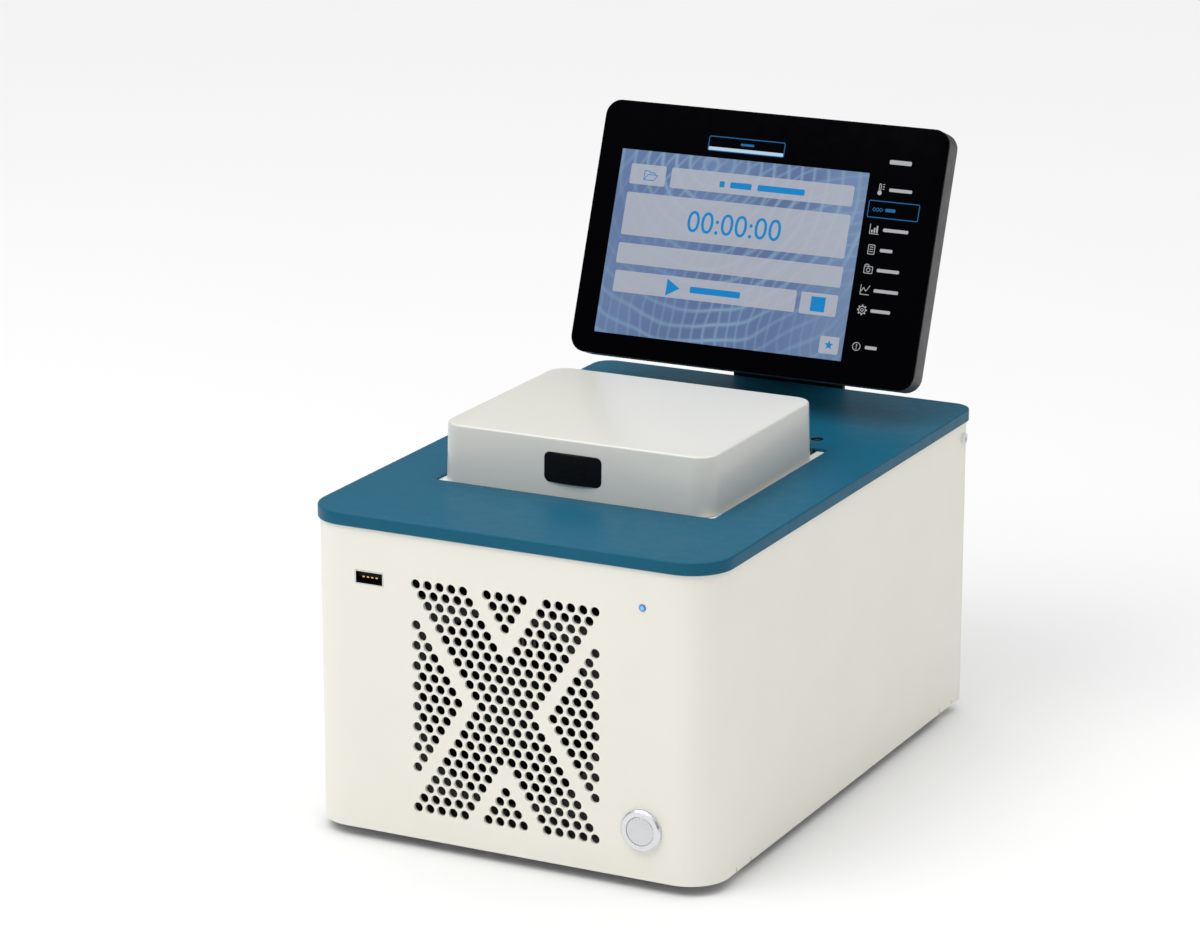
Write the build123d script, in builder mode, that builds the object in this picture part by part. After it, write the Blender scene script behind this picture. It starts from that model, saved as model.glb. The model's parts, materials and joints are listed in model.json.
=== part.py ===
from build123d import *

import os
from math import cos, radians, sin, tan

# A bench-top thermal cycler: a perforated sheet-metal case on rubber feet, a thick painted top plate,
# a hinged heated lid with a push latch over a 96-well block, and a touch display on a tilting hinge.
# Millimetres. +Z is up, the front faces -Y, and the origin is under the middle on the bench.

os.makedirs("parts", exist_ok=True)

CENTRE_BOTTOM = (Align.CENTER, Align.CENTER, Align.MIN)
CENTRE_TOP = (Align.CENTER, Align.CENTER, Align.MAX)

# Overall form of the case and its top plate
case_width = 200.0
case_depth = 286.5
case_height = 141.5
case_corner_radius = 18.6
sheet = 1.5
foot_height = 5.0
plate_thickness = 5.7
plate_overhang = 1.1
plate_rear_overhang = 8.5
plate_rear_radius = 10.0
plate_edge_round = 0.9
bracket_gap = 4.0
bracket_sheet = 3.0
button_flange_thickness = 2.0

# Clearances between pieces
fit = 0.15
running_gap = 0.05
moving_gap = 0.3
thread_gap = 0.05

overall_depth = button_flange_thickness + case_depth + plate_rear_overhang + bracket_gap + bracket_sheet
case_front_y = button_flange_thickness - overall_depth / 2
case_rear_y = case_front_y + case_depth
case_mid_y = (case_front_y + case_rear_y) / 2
case_inner_y = case_front_y + sheet
rear_inner_y = case_rear_y - sheet
case_half = case_width / 2
case_inner_half = case_half - sheet
case_bottom_z = foot_height
case_top_z = case_bottom_z + case_height
plate_top_z = case_top_z + plate_thickness
plate_rear_y = case_rear_y + plate_rear_overhang

# Small fasteners
screw_radius = 1.5
screw_head_radius = 2.8
screw_head_height = 1.5
socket_across = 2.0
nut_radius = 2.9
nut_height = 2.6
countersink_radius = 3.0
countersink_angle = 90.0
countersink_depth = (countersink_radius - screw_radius) / tan(radians(countersink_angle / 2))

# Case sheet details
flange_width = 12.0
flange_corner_gap = 5.0
tab_length = 14.0
tab_width = 15.0
tab_front_inset = 34.4
tab_rear_inset = 18.3
tab_front_y = case_front_y + tab_front_inset
tab_rear_y = case_rear_y - tab_rear_inset
slit_width = 1.0
slit_height = 2.2
tab_screw_inset = 8.0
tab_screw_x = case_half - tab_screw_inset

# Vent: alternate points of a close grid, with plain diagonal bands left between the holes
vent_hole_radius = 2.25
vent_column_pitch = 2.942
vent_columns = 31
vent_rows = 23
vent_bottom_margin = 14.882
vent_top_margin = 22.382
vent_bands = (5, 17)
vent_height = case_height - vent_bottom_margin - vent_top_margin
vent_row_pitch = vent_height / (vent_rows - 1)
vent_centre_z = case_bottom_z + vent_bottom_margin + vent_height / 2

# Front fittings
usb_inset = 32.4
usb_drop = 23.0
usb_x = usb_inset - case_half
usb_z = case_top_z - usb_drop
usb_width = 14.2
usb_height = 6.2
usb_depth = 13.0
usb_wall = 0.4
light_inset = 33.1
light_drop = 17.2
light_x = case_half - light_inset
light_z = case_top_z - light_drop
light_radius = 1.65
light_flange_radius = 2.6
power_height = 23.0
power_x = light_x
power_z = case_bottom_z + power_height
power_flange_radius = 9.6
power_barrel_radius = 7.95
power_barrel_length = 12.0
power_cap_radius = 6.6
power_cap_height = 4.0
power_travel = 1.5
power_stem_radius = 2.5
power_nut_thickness = 3.0
board_thickness = 1.6
board_offset = usb_depth + sheet
board_post_radius = 2.5
board_post_spacing = 22.0

# Feet
foot_inset = 26.0
foot_x = case_half - foot_inset
foot_radius = 10.0
foot_flare = 1.0

# Plate opening, lid and hinge
opening_setback = 64.5
opening_depth = 124.5
opening_side_gap = 2.0
opening_front_gap = 0.6
opening_radius = 2.0
lid_depth = 116.0
lid_half = 68.0
opening_half = lid_half + opening_side_gap
opening_front_y = case_front_y + opening_setback
opening_rear_y = opening_front_y + opening_depth
lid_front_y = opening_front_y + opening_front_gap
lid_height = 26.5
lid_radius = 10.5
lid_draft = 1.67
lid_wall = 2.5
lid_edge_round = 1.1
lid_gap = 0.3
frame_drop = 1.2
lid_rear_y = lid_front_y + lid_depth
lid_mid_y = (lid_front_y + lid_rear_y) / 2
lid_top_z = plate_top_z + lid_height
frame_top_z = plate_top_z - frame_drop
lid_bottom_z = frame_top_z + lid_gap
lid_roof_z = lid_top_z - lid_wall
lid_body_height = lid_top_z - lid_bottom_z

hinge_pin_radius = 2.0
hinge_eye_radius = 3.4
hinge_axis_setback = 3.9
hinge_axis_rise = 1.4
hinge_axis_y = lid_rear_y + hinge_axis_setback
hinge_axis_z = plate_top_z + hinge_axis_rise
hinge_bracket_inset = 11.0
hinge_bracket_x = lid_half - hinge_bracket_inset
hinge_bracket_width = 11.0
hinge_bracket_sheet = 3.0
hinge_knuckle_width = 15.0
hinge_foot_length = 23.0
hinge_screw_inset = 10.5
hinge_screw_setback = 15.6
hinge_screw_x = lid_half - hinge_screw_inset
hinge_screw_y = opening_rear_y + hinge_screw_setback

# Sample block and heat sink stack, measured down from the plate's top
block_setback = 59.5
block_y = opening_front_y + block_setback
block_drop = 4.4
block_length = 110.0
block_depth = 74.0
block_flange_height = 4.8
block_flange_overhang = 4.0
block_height = 17.6
well_pitch = 9.0
well_columns = 12
well_rows = 8
well_radius = 3.1
well_tip_radius = 1.4
well_depth = 14.0
peltier_size = 37.0
peltier_pitch_x = 39.0
peltier_pitch_y = 38.5
peltier_thickness = 3.6
sink_half = 72.0
sink_front_reach = 14.5
sink_rear_reach = 15.0
sink_front_y = opening_front_y - sink_front_reach
sink_rear_y = opening_rear_y + sink_rear_reach
sink_base = 8.0
fin_height = 42.0
fin_thickness = 1.2
fin_count = 25
fin_margin = 2.0
standoff_radius = 3.0
block_top_z = plate_top_z - block_drop
block_bottom_z = block_top_z - block_height
sink_top_z = block_bottom_z - peltier_thickness
sink_bottom_z = sink_top_z - sink_base
fin_bottom_z = sink_bottom_z - fin_height
sink_mid_y = (sink_front_y + sink_rear_y) / 2

# Moulded frame that fills the plate's opening
frame_flange = 6.0
frame_flange_thickness = 2.0
frame_window_margin = 2.0
frame_skirt_wall = 3.0
frame_skirt_gap = 1.5
seal_height = 2.0
hinge_pocket_width = 30.5
hinge_pocket_inset = 3.5
hinge_pocket_end = lid_half - hinge_pocket_inset
hinge_pocket_start = hinge_pocket_end - hinge_pocket_width

# Lid interior
liner_thickness = 2.0
liner_gap = 0.3
liner_wall_top = 14.0
heater_length = 112.0
heater_depth = 76.0
heater_thickness = 6.0
heater_rise = 0.8
heater_float = 3.0
heater_side_gap = 1.0
heater_mat_thickness = 1.0
carrier_thickness = 2.0
guide_x = 48.0
guide_y = 30.0
guide_radius = 2.0
guide_head_radius = 3.5
guide_head_height = 2.5
guide_depth = 4.0
spring_wire = 0.8
spring_radius = 2.9
spring_turns = 4.0
lid_post_radius = 3.6
lid_post_side_inset = 9.0
lid_post_end_inset = 9.5
lid_post_x = lid_half - lid_post_side_inset
insulation_thickness = 5.0

# Latch
latch_width = 28.4
latch_height = 13.6
latch_radius = 2.6
latch_rise = 13.1
latch_centre_z = plate_top_z + latch_rise
latch_bulge = 1.4
latch_depth = 4.2
latch_rim = 1.2
latch_rim_thickness = 0.9
latch_nub_height = 2.0
latch_ridges = 3
latch_ridge_pitch = 3.0
latch_ridge_width = 14.0
latch_ridge_rise = 0.35
hook_pivot_inset = 8.9
hook_pivot_rise = 19.6
hook_pivot_y = lid_front_y + hook_pivot_inset
hook_pivot_z = plate_top_z + hook_pivot_rise
hook_thickness = 3.0
hook_width = 11.0
hook_pin_radius = 1.3
hook_eye_radius = 2.5
hook_lever = 12.0
hook_reach = 28.6
hook_nose_drop = 24.6
hook_nose_length = 7.2
hook_swing = 6.5
keeper_width = 30.0
keeper_depth = 3.8
keeper_thickness = 2.0
keeper_cover = 1.5
keeper_front_gap = 0.5
cheek_thickness = 3.0
cheek_gap = 0.2

# Display, its hinge and its bracket
display_width = 181.2
display_height = 125.3
display_thickness = 16.0
display_tilt = 20.15
display_corner_radius = 8.0
display_rear_round = 5.0
display_bottom_inset = 48.26
display_bottom_rise = 18.55
display_bottom_y = case_rear_y - display_bottom_inset
display_bottom_z = plate_top_z + display_bottom_rise
glass_thickness = 1.6
glass_edge_round = 0.5
lcd_width = 158.0
lcd_height = 92.0
lcd_thickness = 5.0
lcd_corner_radius = 2.0
display_floor = 2.5
display_pin_setback = 0.5
display_pin_rise = 70.8
display_pin_y = case_rear_y + display_pin_setback
display_pin_z = plate_top_z + display_pin_rise
display_pin_radius = 3.0
ear_radius = 8.0
bracket_half = 29.5
washer_thickness = 1.4
knuckle_plate_height = 44.0
knuckle_plate_thickness = 3.0
knuckle_gap = 0.05

# Rear panel fittings
inlet_inset = 38.0
inlet_height = 27.0
inlet_x = inlet_inset - case_half
inlet_z = case_bottom_z + inlet_height
inlet_flange_width = 31.0
inlet_flange_height = 24.0
inlet_flange_thickness = 2.0
inlet_body_width = 27.4
inlet_body_height = 20.0
inlet_body_depth = 24.0
inlet_cavity_width = 24.4
inlet_cavity_height = 16.8
inlet_cavity_depth = 17.0
slot_side_margin = 10.0
slot_bracket_gap = 8.5
slot_width = 3.0
slot_pitch = 6.0
slot_rows = 11
slot_drop = 51.5
slot_outer_x = case_half - slot_side_margin
slot_inner_x = bracket_half + slot_bracket_gap
slot_length = slot_outer_x - slot_inner_x
slot_centre_x = (slot_outer_x + slot_inner_x) / 2
slot_centre_z = case_top_z - slot_drop
bracket_screw_x = 20.0
bracket_screw_low_drop = 59.5
bracket_screw_high_drop = 31.5
bracket_foot_drop = 71.5
bracket_screw_low_z = case_top_z - bracket_screw_low_drop
bracket_screw_high_z = case_top_z - bracket_screw_high_drop
bracket_foot_z = case_top_z - bracket_foot_drop
rear_screw_offsets = (-23.0, 32.0, 102.0)

# Fan and air duct
fan_size = 92.0
fan_depth = 25.0
fan_rim = 2.0
fan_tip_gap = 1.5
fan_hub_radius = 19.0
fan_bore_radius = fan_size / 2 - fan_rim
fan_blade_radius = fan_bore_radius - fan_tip_gap
fan_blades = 7
fan_blade_chord = 19.0
fan_blade_thickness = 1.4
blade_root_pitch = 48.0
blade_tip_pitch = 62.0
fan_hub_depth = 16.0
fan_cup_depth = 5.0
fan_strut = 4.0
fan_flange = 4.5
fan_barrel_wall = 1.8
fan_hole_inset = 4.75
fan_hole_offset = fan_size / 2 - fan_hole_inset
fan_gasket_thickness = 2.0
duct_wall = 1.6

# Base-mounted electronics
supply_width = 54.0
supply_depth = 112.0
supply_height = 38.0
supply_x = inlet_x
supply_rear_gap = 28.0
supply_control_gap = 19.0
control_side_gap = 10.5
control_depth = 96.0
control_rear_gap = 28.0
control_left_x = supply_x + supply_width / 2 + supply_control_gap
control_right_x = case_inner_half - control_side_gap
control_width = control_right_x - control_left_x
control_x = (control_left_x + control_right_x) / 2
control_y = case_rear_y - control_rear_gap - control_depth / 2
control_post_height = 6.0
control_post_inset = 5.0


def corners(x, y):
    """Returns the four points at plus and minus x and y."""
    return [(x, y), (-x, y), (-x, -y), (x, -y)]


def front_rounded(width, front_y, rear_y, radius):
    """Returns a face between two Y positions whose two front corners are rounded."""
    with BuildSketch(mode=Mode.PRIVATE) as outline:
        with Locations((0, (front_y + rear_y) / 2)):
            Rectangle(width, rear_y - front_y)
        fillet(outline.vertices().group_by(Axis.Y)[0], radius)
    return outline.sketch


def socket_screw(shank_length, radius=screw_radius):
    """Returns a button-head screw whose head stands on the origin and whose shank points down."""
    with BuildPart(mode=Mode.PRIVATE) as screw:
        Cylinder(screw_head_radius, screw_head_height, align=CENTRE_BOTTOM)
        fillet(screw.edges().sort_by(Axis.Z)[-1], screw_head_height * 0.45)
        Cylinder(radius, shank_length, align=CENTRE_TOP)
        with BuildSketch(Plane.XY.offset(screw_head_height)):
            RegularPolygon(socket_across / 2, 6, major_radius=False)
        extrude(amount=-screw_head_height * 0.7, mode=Mode.SUBTRACT)
    return screw.part


def countersunk_screw(shank_length):
    """Returns a countersunk screw with its flat head's face on the origin and its shank pointing down."""
    with BuildPart(mode=Mode.PRIVATE) as screw:
        Cone(screw_radius, countersink_radius, countersink_depth, align=CENTRE_TOP)
        Cylinder(screw_radius, shank_length, align=CENTRE_TOP)
        with BuildSketch(Plane.XY):
            RegularPolygon(socket_across / 2, 6, major_radius=False)
        extrude(amount=-countersink_depth * 0.8, mode=Mode.SUBTRACT)
    return screw.part


def compression_spring(length, mean_radius, wire, turns):
    """Returns a coil spring that stands on the origin along +Z with its ends inside its length."""
    rise = length - wire
    with BuildPart(mode=Mode.PRIVATE) as coil:
        with BuildLine(Plane.XY.offset(wire / 2)) as wire_path:
            Helix(pitch=rise / turns, height=rise, radius=mean_radius)
        with BuildSketch(Plane(origin=wire_path.line @ 0, z_dir=wire_path.line % 0)):
            Circle(wire / 2)
        sweep(path=wire_path.line, is_frenet=True)
    return coil.part


# Case: one bent sheet that forms the front and both sides, with a perforated vent
def vent_holes():
    """Returns the vent's hole centres on the front face, as x and z."""
    mid_column = vent_columns // 2
    last_row = vent_rows - 1
    points = []
    for row in range(vent_rows):
        from_edge = min(row, last_row - row)
        for column in range(vent_columns):
            out = abs(column - mid_column)
            on_band = any(out == band - from_edge for band in vent_bands)
            if (row + column) % 2 == 0 and not on_band:
                x = (column - mid_column) * vent_column_pitch
                z = vent_centre_z + (last_row / 2 - row) * vent_row_pitch
                points.append((x, z))
    return points


wrap_outer = front_rounded(case_width, case_front_y, case_rear_y, case_corner_radius)
wrap_inner = front_rounded(
    case_width - 2 * sheet, case_inner_y, case_rear_y + sheet, case_corner_radius - sheet
)
flange_front_y = case_front_y + case_corner_radius + flange_corner_gap
flange_rear_gap = 1.0
flange_rear_y = rear_inner_y - flange_rear_gap
flange_length = flange_rear_y - flange_front_y
flange_mid_y = (flange_front_y + flange_rear_y) / 2
front_flange_length = case_width - 2 * (case_corner_radius + flange_corner_gap)
plate_screw_inset = 12.0
plate_screw_y = [flange_front_y + plate_screw_inset, flange_mid_y, flange_rear_y - plate_screw_inset]
plate_screw_x = case_inner_half - flange_width / 2
side_screw_inset = 4.0
side_screw_drop = 8.1
side_screw_y = case_rear_y - side_screw_inset
side_screw_z = case_top_z - side_screw_drop
power_hole_radius = power_barrel_radius + fit

with BuildPart() as case_shell:
    with BuildSketch(Plane.XY.offset(case_bottom_z)):
        add(wrap_outer)
        add(wrap_inner, mode=Mode.SUBTRACT)
    extrude(amount=case_height)
    with BuildSketch(Plane.XY.offset(case_top_z)):
        with Locations(*[(side * plate_screw_x, flange_mid_y) for side in (-1, 1)]):
            Rectangle(flange_width, flange_length)
        with Locations((0, case_inner_y + flange_width / 2)):
            Rectangle(front_flange_length, flange_width)
        with Locations(*[(side * plate_screw_x, y) for side in (-1, 1) for y in plate_screw_y]):
            Circle(screw_radius + thread_gap, mode=Mode.SUBTRACT)
    extrude(amount=-sheet)
    with BuildSketch(Plane.XY.offset(case_bottom_z)):
        tab_x = case_inner_half - (tab_length - sheet) / 2
        with Locations(*[(side * tab_x, y) for side in (-1, 1) for y in (tab_front_y, tab_rear_y)]):
            Rectangle(tab_length - sheet, tab_width - slit_width)
        with Locations(*[(side * tab_screw_x, y) for side in (-1, 1) for y in (tab_front_y, tab_rear_y)]):
            Circle(screw_radius + fit, mode=Mode.SUBTRACT)
    extrude(amount=sheet)
    with BuildSketch(Plane.YZ):
        for tab_y in (tab_front_y, tab_rear_y):
            with Locations(*[(tab_y + end * tab_width / 2, case_bottom_z) for end in (-1, 1)]):
                Rectangle(slit_width, 2 * slit_height)
    extrude(amount=case_width, both=True, mode=Mode.SUBTRACT)
    with BuildSketch(Plane.XZ.offset(-case_front_y)):
        with Locations(*vent_holes()):
            Circle(vent_hole_radius)
        with Locations((usb_x, usb_z)):
            RectangleRounded(usb_width + 2 * fit, usb_height + 2 * fit, 0.6)
        with Locations((light_x, light_z)):
            Circle(light_radius + running_gap)
        with Locations((power_x, power_z)):
            Circle(power_hole_radius)
    extrude(amount=-sheet, mode=Mode.SUBTRACT)
    with BuildSketch(Plane.YZ):
        with Locations((side_screw_y, side_screw_z)):
            Circle(screw_radius + fit)
    extrude(amount=case_width, both=True, mode=Mode.SUBTRACT)
case_shell.part.label = "case_shell"
export_step(case_shell.part, "parts/case_shell.step")

# Base plate: lies on the case's four tabs and carries the feet
base_z = case_bottom_z + sheet
base_top_z = base_z + sheet
base_outline = front_rounded(
    case_width - 2 * (sheet + fit), case_inner_y + fit, rear_inner_y, case_corner_radius - sheet - fit
)
tab_screw_places = [(side * tab_screw_x, y) for side in (-1, 1) for y in (tab_front_y, tab_rear_y)]
foot_places = [(side * foot_x, y) for side in (-1, 1) for y in (tab_front_y, tab_rear_y)]
rear_flange_screw_y = rear_inner_y - flange_width / 2
rear_screw_places = [(inlet_x + offset, rear_flange_screw_y) for offset in rear_screw_offsets]

with BuildPart() as base_plate:
    with BuildSketch(Plane.XY.offset(base_z)):
        add(base_outline)
    extrude(amount=sheet)
    with Locations(*[(x, y, base_top_z) for x, y in tab_screw_places + foot_places]):
        Cylinder(nut_radius, nut_height, align=CENTRE_BOTTOM)
    with Locations(*[(x, y, base_z) for x, y in tab_screw_places + foot_places + rear_screw_places]):
        Cylinder(
            screw_radius + thread_gap, sheet + nut_height, align=CENTRE_BOTTOM, mode=Mode.SUBTRACT
        )
base_plate.part.label = "base_plate"
export_step(base_plate.part, "parts/base_plate.step")

# Rear panel: a sheet with turned edges that closes the back and carries the display's bracket
panel_half = case_inner_half - fit
panel_top_z = case_top_z - fit
bracket_screws = [
    (side * bracket_screw_x, z) for side in (-1, 1) for z in (bracket_screw_low_z, bracket_screw_high_z)
]

with BuildPart() as rear_panel:
    with BuildSketch(Plane.XY.offset(base_top_z)):
        with Locations((0, case_rear_y - sheet / 2)):
            Rectangle(2 * panel_half, sheet)
    extrude(amount=panel_top_z - base_top_z)
    with BuildSketch(Plane.XY.offset(base_top_z)):
        with Locations(*[(side * (panel_half - sheet / 2), rear_flange_screw_y) for side in (-1, 1)]):
            Rectangle(sheet, flange_width)
    extrude(amount=case_top_z - 2 * sheet - base_top_z)
    with BuildSketch(Plane.XY.offset(base_top_z)):
        with Locations((0, rear_flange_screw_y)):
            Rectangle(2 * panel_half - 2 * tab_length, flange_width)
        with Locations((inlet_x, rear_flange_screw_y)):
            Rectangle(inlet_flange_width, flange_width + 1, mode=Mode.SUBTRACT)
    extrude(amount=sheet)
    with Locations(*[(x, y, base_top_z + sheet) for x, y in rear_screw_places]):
        Cylinder(nut_radius, nut_height, align=CENTRE_BOTTOM)
    with Locations(*[(x, y, base_top_z) for x, y in rear_screw_places]):
        Cylinder(
            screw_radius + thread_gap, sheet + nut_height, align=CENTRE_BOTTOM, mode=Mode.SUBTRACT
        )
    for side in (-1, 1):
        with BuildSketch(Plane.YZ.offset(side * (panel_half - sheet))):
            with Locations((side_screw_y, side_screw_z)):
                Circle(nut_radius - fit)
        extrude(amount=-side * nut_height)
    with BuildSketch(Plane.YZ):
        with Locations((side_screw_y, side_screw_z)):
            Circle(screw_radius + thread_gap)
    extrude(amount=case_width, both=True, mode=Mode.SUBTRACT)
    with BuildSketch(Plane.XZ.offset(-rear_inner_y)):
        with Locations(*bracket_screws):
            Circle(nut_radius)
    extrude(amount=nut_height)
    with BuildSketch(Plane.XZ.offset(-case_rear_y)):
        with Locations(*bracket_screws):
            Circle(screw_radius + thread_gap)
    extrude(amount=sheet + nut_height, mode=Mode.SUBTRACT)
    with BuildSketch(Plane.XZ.offset(-case_rear_y)):
        for side in (-1, 1):
            with Locations((side * slot_centre_x, slot_centre_z)):
                with GridLocations(slot_length, slot_pitch, 1, slot_rows):
                    SlotOverall(slot_length, slot_width)
        with Locations((inlet_x, inlet_z)):
            Rectangle(inlet_body_width + 2 * fit, inlet_body_height + 2 * fit)
    extrude(amount=sheet, mode=Mode.SUBTRACT)
rear_panel.part.label = "rear_panel"
export_step(rear_panel.part, "parts/rear_panel.step")

# Top plate: thick painted plate with softened edges, an opening for the lid and two countersunk holes
plate_outline = front_rounded(
    case_width + 2 * plate_overhang,
    case_front_y - plate_overhang,
    plate_rear_y,
    case_corner_radius + plate_overhang,
)
opening_mid_y = (opening_front_y + opening_rear_y) / 2
frame_screw_inset = 25.0
frame_screw_x = opening_half - frame_screw_inset
frame_screws = [(side * frame_screw_x, opening_front_y - frame_flange / 2) for side in (-1, 1)]
post_side_inset = 10.0
post_front_inset = 5.0
post_rear_x = 30.0
post_rear_inset = 6.0
sink_posts = [(side * (sink_half - post_side_inset), sink_front_y + post_front_inset) for side in (-1, 1)]
sink_posts += [(side * post_rear_x, sink_rear_y - post_rear_inset) for side in (-1, 1)]
plate_screw_depth = 4.0

with BuildPart() as top_plate:
    with BuildSketch(Plane.XY.offset(case_top_z)) as plate_sketch:
        add(plate_outline)
        fillet(plate_sketch.vertices().group_by(Axis.Y)[-1], plate_rear_radius)
    extrude(amount=plate_thickness)
    fillet(top_plate.faces().sort_by(Axis.Z)[-1].edges(), plate_edge_round)
    with BuildSketch(Plane.XY.offset(case_top_z)):
        with Locations((0, opening_mid_y)):
            RectangleRounded(2 * opening_half, opening_depth, opening_radius)
    extrude(amount=plate_thickness, mode=Mode.SUBTRACT)
    with Locations(*[(side * hinge_screw_x, hinge_screw_y, plate_top_z) for side in (-1, 1)]):
        CounterSinkHole(
            screw_radius + thread_gap, countersink_radius + thread_gap, counter_sink_angle=countersink_angle
        )
    with BuildSketch(Plane.XY.offset(case_top_z)):
        with Locations(*[(side * plate_screw_x, y) for side in (-1, 1) for y in plate_screw_y]):
            Circle(screw_radius + thread_gap)
        with Locations(*(sink_posts + frame_screws)):
            Circle(screw_radius + thread_gap)
    extrude(amount=plate_screw_depth, mode=Mode.SUBTRACT)
top_plate.part.label = "top_plate"
export_step(top_plate.part, "parts/top_plate.step")

# Rubber feet: flared pads with a recess for their screws
foot_recess_depth = 3.0

with BuildPart() as rubber_feet:
    with Locations(*[(x, y, 0) for x, y in foot_places]):
        Cone(foot_radius, foot_radius - foot_flare, base_z, align=CENTRE_BOTTOM)
    with Locations(*[(x, y, 0) for x, y in foot_places]):
        Cylinder(screw_radius + fit, base_z, align=CENTRE_BOTTOM, mode=Mode.SUBTRACT)
        Cylinder(
            screw_head_radius + moving_gap, foot_recess_depth, align=CENTRE_BOTTOM, mode=Mode.SUBTRACT
        )
rubber_feet.part.label = "rubber_feet"
export_step(rubber_feet.part, "parts/rubber_feet.step")

# Screws put in from below: through the tabs, through the feet and into the rear panel's edge
underside_screw = socket_screw(sheet + sheet + nut_height)
foot_screw = socket_screw(base_z - foot_recess_depth + sheet + nut_height)
pointing_up = (180, 0, 0)

with BuildPart() as base_screws:
    with Locations(*[Location((x, y, case_bottom_z), pointing_up) for x, y in tab_screw_places]):
        add(underside_screw)
    with Locations(*[Location((x, y, foot_recess_depth), pointing_up) for x, y in foot_places]):
        add(foot_screw)
    with Locations(*[Location((x, y, base_z), pointing_up) for x, y in rear_screw_places]):
        add(underside_screw)
base_screws.part.label = "base_screws"
export_step(base_screws.part, "parts/base_screws.step")

# Two screws through the sides into the rear panel
side_screw = socket_screw(2 * sheet + fit + nut_height)

with BuildPart() as side_screws:
    with Locations(
        Location((case_half, side_screw_y, side_screw_z), (0, 90, 0)),
        Location((-case_half, side_screw_y, side_screw_z), (0, -90, 0)),
    ):
        add(side_screw)
side_screws.part.label = "side_screws"
export_step(side_screws.part, "parts/side_screws.step")

# Screws that hold the top plate and the moulded frame from below
plate_screw = socket_screw(sheet + plate_screw_depth - 0.5)
frame_screw = socket_screw(frame_flange_thickness + plate_screw_depth - 0.5)

with BuildPart() as plate_screws:
    with Locations(
        *[
            Location((side * plate_screw_x, y, case_top_z - sheet), pointing_up)
            for side in (-1, 1)
            for y in plate_screw_y
        ]
    ):
        add(plate_screw)
    with Locations(
        *[Location((x, y, case_top_z - frame_flange_thickness), pointing_up) for x, y in frame_screws]
    ):
        add(frame_screw)
plate_screws.part.label = "plate_screws"
export_step(plate_screws.part, "parts/plate_screws.step")

# Front socket: pressed metal shell, and the insulating tongue with its contacts
usb_tongue_width = 11.4
usb_tongue_height = 1.9
usb_tongue_rise = 1.1
usb_contact_depth = 8.0

with BuildPart() as usb_shell:
    with BuildSketch(Plane.XZ.offset(-case_front_y)):
        with Locations((usb_x, usb_z)):
            RectangleRounded(usb_width, usb_height, 0.5)
            RectangleRounded(usb_width - 2 * usb_wall, usb_height - 2 * usb_wall, 0.3, mode=Mode.SUBTRACT)
    extrude(amount=-board_offset)
usb_shell.part.label = "usb_shell"
export_step(usb_shell.part, "parts/usb_shell.step")

with BuildPart() as usb_tongue:
    with BuildSketch(Plane.XZ.offset(-case_front_y - board_offset)):
        with Locations((usb_x, usb_z)):
            Rectangle(usb_width - 2 * (usb_wall + fit), usb_height - 2 * (usb_wall + fit))
    extrude(amount=board_offset - usb_contact_depth)
    with BuildSketch(Plane.XZ.offset(-case_front_y - usb_contact_depth)):
        with Locations((usb_x, usb_z + usb_tongue_rise)):
            Rectangle(usb_tongue_width, usb_tongue_height)
    extrude(amount=usb_contact_depth - 1.0)
    with BuildSketch(Plane.XZ.offset(-case_front_y - usb_contact_depth)):
        with Locations((usb_x, usb_z + usb_tongue_rise - usb_tongue_height / 2)):
            with GridLocations(2.2, 1, 4, 1):
                Rectangle(1.0, 0.3)
    extrude(amount=usb_contact_depth - 2.0)
usb_tongue.part.label = "usb_tongue"
export_step(usb_tongue.part, "parts/usb_tongue.step")

# Two small boards behind the front and the control board on the base, all on hexagonal posts
post_places = [
    (x + end * board_post_spacing / 2, z)
    for x, z in ((usb_x, usb_z), (light_x, light_z))
    for end in (-1, 1)
]
board_y = case_front_y + board_offset

control_z = base_top_z + control_post_height
control_top_z = control_z + board_thickness
control_posts = [
    (control_x + x, control_y + y)
    for x, y in corners(control_width / 2 - control_post_inset, control_depth / 2 - control_post_inset)
]

with BuildPart() as circuit_boards:
    with BuildSketch(Plane.XZ.offset(-board_y)):
        with Locations((usb_x, usb_z), (light_x, light_z)):
            RectangleRounded(board_post_spacing + 8.0, 18.0, 1.5)
    extrude(amount=-board_thickness)
    with BuildSketch(Plane.XY.offset(control_z)):
        with Locations((control_x, control_y)):
            RectangleRounded(control_width, control_depth, 2.0)
    extrude(amount=board_thickness)
circuit_boards.part.label = "circuit_boards"
export_step(circuit_boards.part, "parts/circuit_boards.step")

with BuildPart() as board_posts:
    with BuildSketch(Plane.XZ.offset(-case_inner_y)):
        with Locations(*post_places):
            RegularPolygon(board_post_radius, 6)
    extrude(amount=-(board_offset - sheet))
    with BuildSketch(Plane.XY.offset(base_top_z)):
        with Locations(*control_posts):
            RegularPolygon(board_post_radius, 6)
    extrude(amount=control_post_height)
board_posts.part.label = "board_posts"
export_step(board_posts.part, "parts/board_posts.step")

# Status light: a light pipe with a domed end and a collar behind the sheet
light_dome = 0.5
light_collar = 1.2

with BuildPart() as status_light:
    with BuildSketch(Plane.XZ.offset(-case_front_y)):
        with Locations((light_x, light_z)):
            Circle(light_radius)
    extrude(amount=light_dome)
    fillet(status_light.edges().sort_by(Axis.Y)[0], light_dome * 0.8)
    with BuildSketch(Plane.XZ.offset(-case_front_y)):
        with Locations((light_x, light_z)):
            Circle(light_radius)
    extrude(amount=-board_offset)
    with BuildSketch(Plane.XZ.offset(-case_inner_y)):
        with Locations((light_x, light_z)):
            Circle(light_flange_radius)
    extrude(amount=-light_collar)
status_light.part.label = "status_light"
export_step(status_light.part, "parts/status_light.step")

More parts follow.
